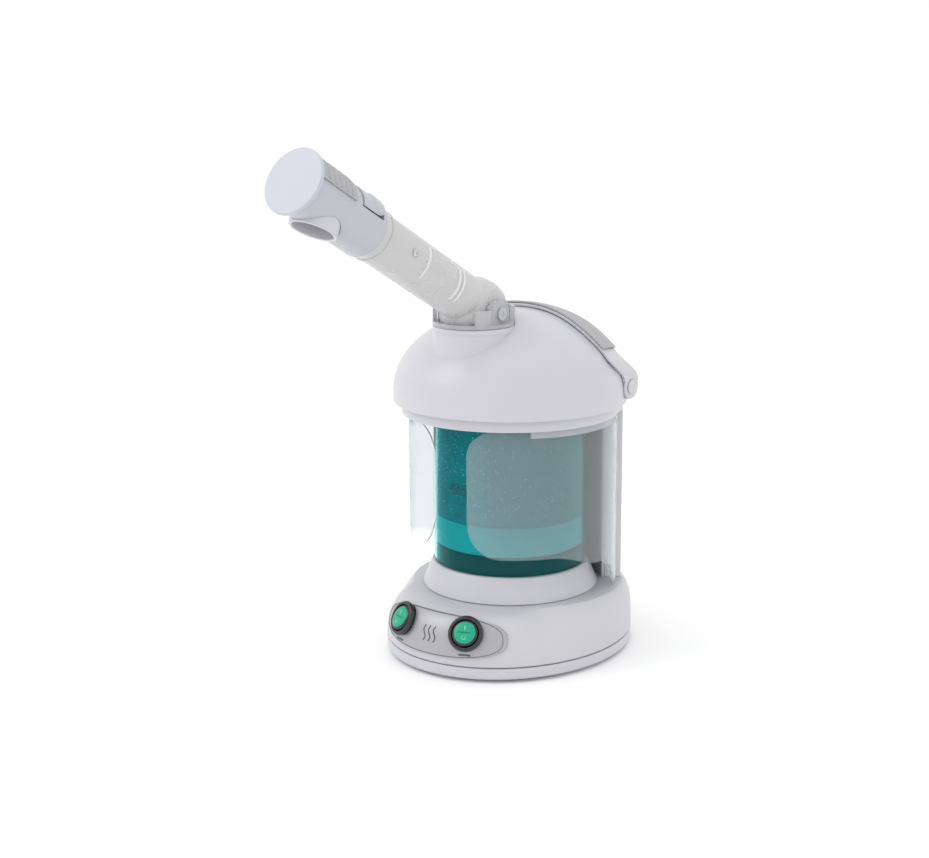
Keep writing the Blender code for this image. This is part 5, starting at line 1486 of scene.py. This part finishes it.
@dataclass
class Nozzle:
    """Drum with end cap, outlet, ribbed grip and sprung catch."""

    dome: DomeLid
    start: float = 118.3 * MM
    radius: float = 17.3 * MM
    wall: float = 2.5 * MM
    end: float = 180.4 * MM
    plate: float = 2.6 * MM
    inner_tube: float = 13.1 * MM
    cap: float = 20.0 * MM
    cap_thickness: float = 2.6 * MM
    outlet_at: float = 157.0 * MM
    outlet: float = 14.2 * MM
    outlet_wall: float = 2.0 * MM
    outlet_drop: float = 18.4 * MM
    outlet_inner: float = 7.0 * MM
    catch_from: float = 123.0 * MM
    catch_to: float = 142.0 * MM
    catch_half: float = 8.0 * MM
    grip_from: float = 149.0 * MM
    grip_pad: float = 1.2 * MM
    grip_half_span: float = 30.0
    grip_turn: float = -45.0

    def side(self, places: Places) -> Matrix:
        """Frame of the tube turned so that its Y points at the grip and the catch."""
        return places.tube @ Matrix.Rotation(math.radians(self.grip_turn), 4, "Z")

    def drum(self, places: Places) -> bpy.types.Object:
        """Drum with its outlet hole and the catch's window."""
        bore, hole = self.radius - self.wall, self.inner_tube + GAP
        outline = [(hole, self.start), (self.radius, self.start), (self.radius, self.end), (bore, self.end),
                   (bore, self.start + self.plate), (hole, self.start + self.plate)]
        drum = turned("nozzle_drum", soften(outline, 0.9 * MM), places.tube, 112)
        outlet_place = places.on_tube(self.outlet_at, "X")
        low, high = self.catch_from - 0.8 * MM, self.catch_to + 0.5 * MM
        return combine(drum, [
            (self.dome.rod(self.outlet + GAP, 4 * MM, 30 * MM, outlet_place, 80), Cut.REMOVE),
            (block("tool", (2 * self.catch_half + 1 * MM, 20 * MM, high - low),
                   (0, 18 * MM, (low + high) / 2),
                   self.side(places)), Cut.REMOVE)], 32.0)

    def grip(self, places: Places) -> bpy.types.Object:
        """Soft pad on top of the drum."""
        low, high = self.radius + GAP, self.radius + GAP + self.grip_pad * 0.75
        loops = []
        for z in spread(self.grip_from, self.end - 1 * MM, 24):
            angles = spread(90 - self.grip_half_span, 90 + self.grip_half_span, 40)
            lower = [Vector((low * math.cos(math.radians(a)), low * math.sin(math.radians(a)),
                             z)) for a in angles]
            upper = [Vector((high * math.cos(math.radians(a)), high * math.sin(math.radians(a)), z))
                     for a in reversed(angles)]
            loops.append(lower + upper)
        return skin("thumb_pad", loops, self.side(places))

    def catch(self, places: Places) -> bpy.types.Object:
        """Sprung tongue with a round nose and a raised tip."""
        length, rows = self.catch_to - self.catch_from, []
        for along in spread(0, length, 40):
            share = along / length
            half = self.catch_half
            if share > 0.6:
                half *= math.sqrt(max(1 - ((share - 0.6) / 0.55) ** 2, 0.05))
            top = 18.2 * MM + eased(share, [(0.5, 0.0), (0.62, 0.8 * MM)])
            xs = spread(-half, half, 13)
            under = [Vector((x, 15.6 * MM, self.catch_to - along)) for x in xs]
            over = [Vector((x, math.sqrt(top ** 2 - x ** 2) - (0.25 * MM if abs(x) == half else 0.0),
                            self.catch_to - along)) for x in reversed(xs)]
            rows.append(under + over)
        return skin("release_tongue", rows, self.side(places), sharp=40.0)

    def build(self, places: Places, shop: Workshop, repeat: bpy.types.NodeTree) -> None:
        """Every piece of the nozzle."""
        dress(self.drum(places), shop["nozzle_white"], Body.NOZZLE, "nozzle_body")
        outlet_place = places.on_tube(self.outlet_at, "X")
        inner = self.outlet - self.outlet_wall
        lip = [(inner, self.outlet_inner), (self.outlet, self.outlet_inner),
               (self.outlet, self.outlet_drop),
               (inner, self.outlet_drop)]
        dress(turned("outlet_lip", soften(lip, 0.8 * MM), outlet_place, 96), shop["lilac_white_shell"],
              Body.NOZZLE,
              "outlet_ring")
        start, plug = self.end + GAP, self.radius - self.wall - GAP
        finish = start + self.cap_thickness
        cap = [(0, start - 3.5 * MM), (plug, start - 3.5 * MM), (plug, start), (self.cap, start),
               (self.cap, finish),
               (0, finish)]
        dress(turned("end_disc", soften(cap, 0.8 * MM, 6), places.tube, 144), shop["cap_white"],
              Body.NOZZLE,
              "end_cap")
        dress(self.grip(places), shop["grip_grey"], Body.NOZZLE, "nozzle_grip")
        mid = self.radius + GAP + self.grip_pad * 0.5
        angles = spread(90 - self.grip_half_span * 0.86, 90 + self.grip_half_span * 0.86, 30)
        loops = [[Vector(((mid + dr) * math.cos(math.radians(a)), (mid + dr) * math.sin(math.radians(a)),
                          z))
                  for dr, z in arc((0, self.grip_from + 4.5 * MM), 0.85 * MM, 0, 330, 12)] for a in angles]
        rib = skin("pad_ribs", loops, self.side(places))
        step = places.tube.to_3x3() @ Vector((0, 0, 5.2 * MM))
        grow(rib, repeat, {"Count": 5, "Step": step, "Material": shop["grip_grey"]})
        dress(rib, shop["grip_grey"], Body.NOZZLE)
        dress(self.catch(places), shop["nozzle_white"], Body.CATCH, "nozzle_catch")


@dataclass
class InnerParts:
    """Frame nodes whose shape is right already and only need their finish."""

    finishes: dict[str, str] = field(default_factory=lambda: {
        "heating_element": "heater_copper", "thermostat": "turned_steel", "control_board": "board_green",
        "cord_inlet": "soft_rubber", "wiring_harness": "soft_rubber", "steam_cover": "lilac_white_shell",
        "steam_duct": "inner_grey", "lamp_holder": "inner_grey", "ozone_lamp": "lamp_glass",
        "collar_ring": "inner_grey", "tube_seal": "soft_rubber"})

    def build(self, frame: dict, shop: Workshop) -> None:
        """Assign a finish to each of them, and to the feet and screws."""
        for name, finish in self.finishes.items():
            self.paint(frame["nodes"][name], shop[finish])
        for name, node in frame["nodes"].items():
            if name.startswith("foot_"):
                self.paint(node, shop["soft_rubber"])
            elif name.startswith("cover_screw_"):
                self.paint(node, shop["turned_steel"])

    def paint(self, node: bpy.types.Object, look: bpy.types.Material) -> None:
        """Put one finish in every slot of a node."""
        if not node.material_slots:
            node.data.materials.append(look)
        for slot in node.material_slots:
            slot.material = look


@dataclass
class Studio:
    """Pale floor, soft lights and the camera."""

    azimuth: float = 36.5
    elevation: float = 12.5
    distance: float = 1.1
    target_z: float = 0.141
    lens: float = 64.58
    shift: tuple[float, float] = (-0.0490, 0.0075)

    def direction(self, azimuth: float, elevation: float) -> Vector:
        """Unit vector from the object towards a viewer."""
        a, e = math.radians(azimuth), math.radians(elevation)
        return Vector((math.sin(a) * math.cos(e), -math.cos(a) * math.cos(e), math.sin(e)))

    def camera(self, places: Places) -> None:
        """Camera at the wanted angle."""
        data = bpy.data.cameras.new("view")
        data.lens, data.sensor_width = self.lens, 36.0
        data.shift_x, data.shift_y = self.shift
        cam = bpy.data.objects.new("view", data)
        bpy.context.scene.collection.objects.link(cam)
        back = self.direction(self.azimuth, self.elevation)
        cam.location = places.root.translation + Vector((0, 0, self.target_z)) + back * self.distance
        cam.rotation_mode = "QUATERNION"
        cam.rotation_quaternion = (-back).to_track_quat("-Z", "Y")
        bpy.context.scene.camera = cam

    def lamp(self, name: str, azimuth: float, elevation: float, power: float, size: float,
             places: Places) -> None:
        """Soft area light aimed at the object."""
        data = bpy.data.lights.new(name, "AREA")
        data.energy, data.size = power, size
        lamp = bpy.data.objects.new(name, data)
        bpy.context.scene.collection.objects.link(lamp)
        back = self.direction(azimuth, elevation)
        lamp.location = places.root.translation + Vector((0, 0, 0.18)) + back * 1.3
        lamp.rotation_mode = "QUATERNION"
        lamp.rotation_quaternion = (-back).to_track_quat("-Z", "Y")

    def build(self, places: Places) -> None:
        """Everything that isn't the object."""
        bpy.context.scene.view_settings.view_transform = "Standard"
        self.camera(places)
        world = bpy.data.worlds.new("studio")
        world.use_nodes = True
        world.node_tree.nodes["Background"].inputs["Color"].default_value = (1.0, 1.0, 1.0, 1.0)
        world.node_tree.nodes["Background"].inputs["Strength"].default_value = 1.0
        bpy.context.scene.world = world
        self.lamp("key", -40, 38, 3.2, 0.7, places)
        self.lamp("fill", 85, 25, 0.8, 1.2, places)
        self.lamp("top", 20, 80, 1.6, 1.0, places)
        shape = bmesh.new()
        bmesh.ops.create_grid(shape, x_segments=1, y_segments=1, size=6.0)
        mesh = bpy.data.meshes.new("floor")
        shape.to_mesh(mesh)
        shape.free()
        floor = bpy.data.objects.new("floor", mesh)
        bpy.context.scene.collection.objects.link(floor)
        look = bpy.data.materials.new("floor_paper")
        look.use_nodes = True
        shader = look.node_tree.nodes["Principled BSDF"]
        shader.inputs["Base Color"].default_value = (1.0, 1.0, 1.0, 1.0)
        shader.inputs["Roughness"].default_value = 0.9
        shader.inputs["Specular IOR Level"].default_value = 0.0
        mesh.materials.append(look)


def main() -> None:
    """Build every sub-assembly in order."""
    logging.basicConfig(level=logging.INFO, format="%(name)s: %(message)s")
    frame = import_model()
    places = Places()
    places.read()
    studio = Studio()
    studio.build(places)
    shop = Workshop()
    shop.stock()
    repeat, drops = repeat_tree(), droplet_tree()
    surface, dome = BaseSurface(), DomeLid()
    BaseHousing(surface).build(places, shop)
    ControlPanel(surface).build(places, shop)
    JarAssembly().build(places, shop, drops)
    ShieldPair().build(places, shop)
    RearColumn().build(places, shop)
    dome.build(places, shop)
    CarryHandle(dome).build(places, shop)
    SwivelCollar(dome).build(places, shop, repeat)
    SteamArm(dome).build(places, shop, repeat)
    Nozzle(dome).build(places, shop, repeat)
    InnerParts().build(frame, shop)


if __name__ == "__main__":
    main()
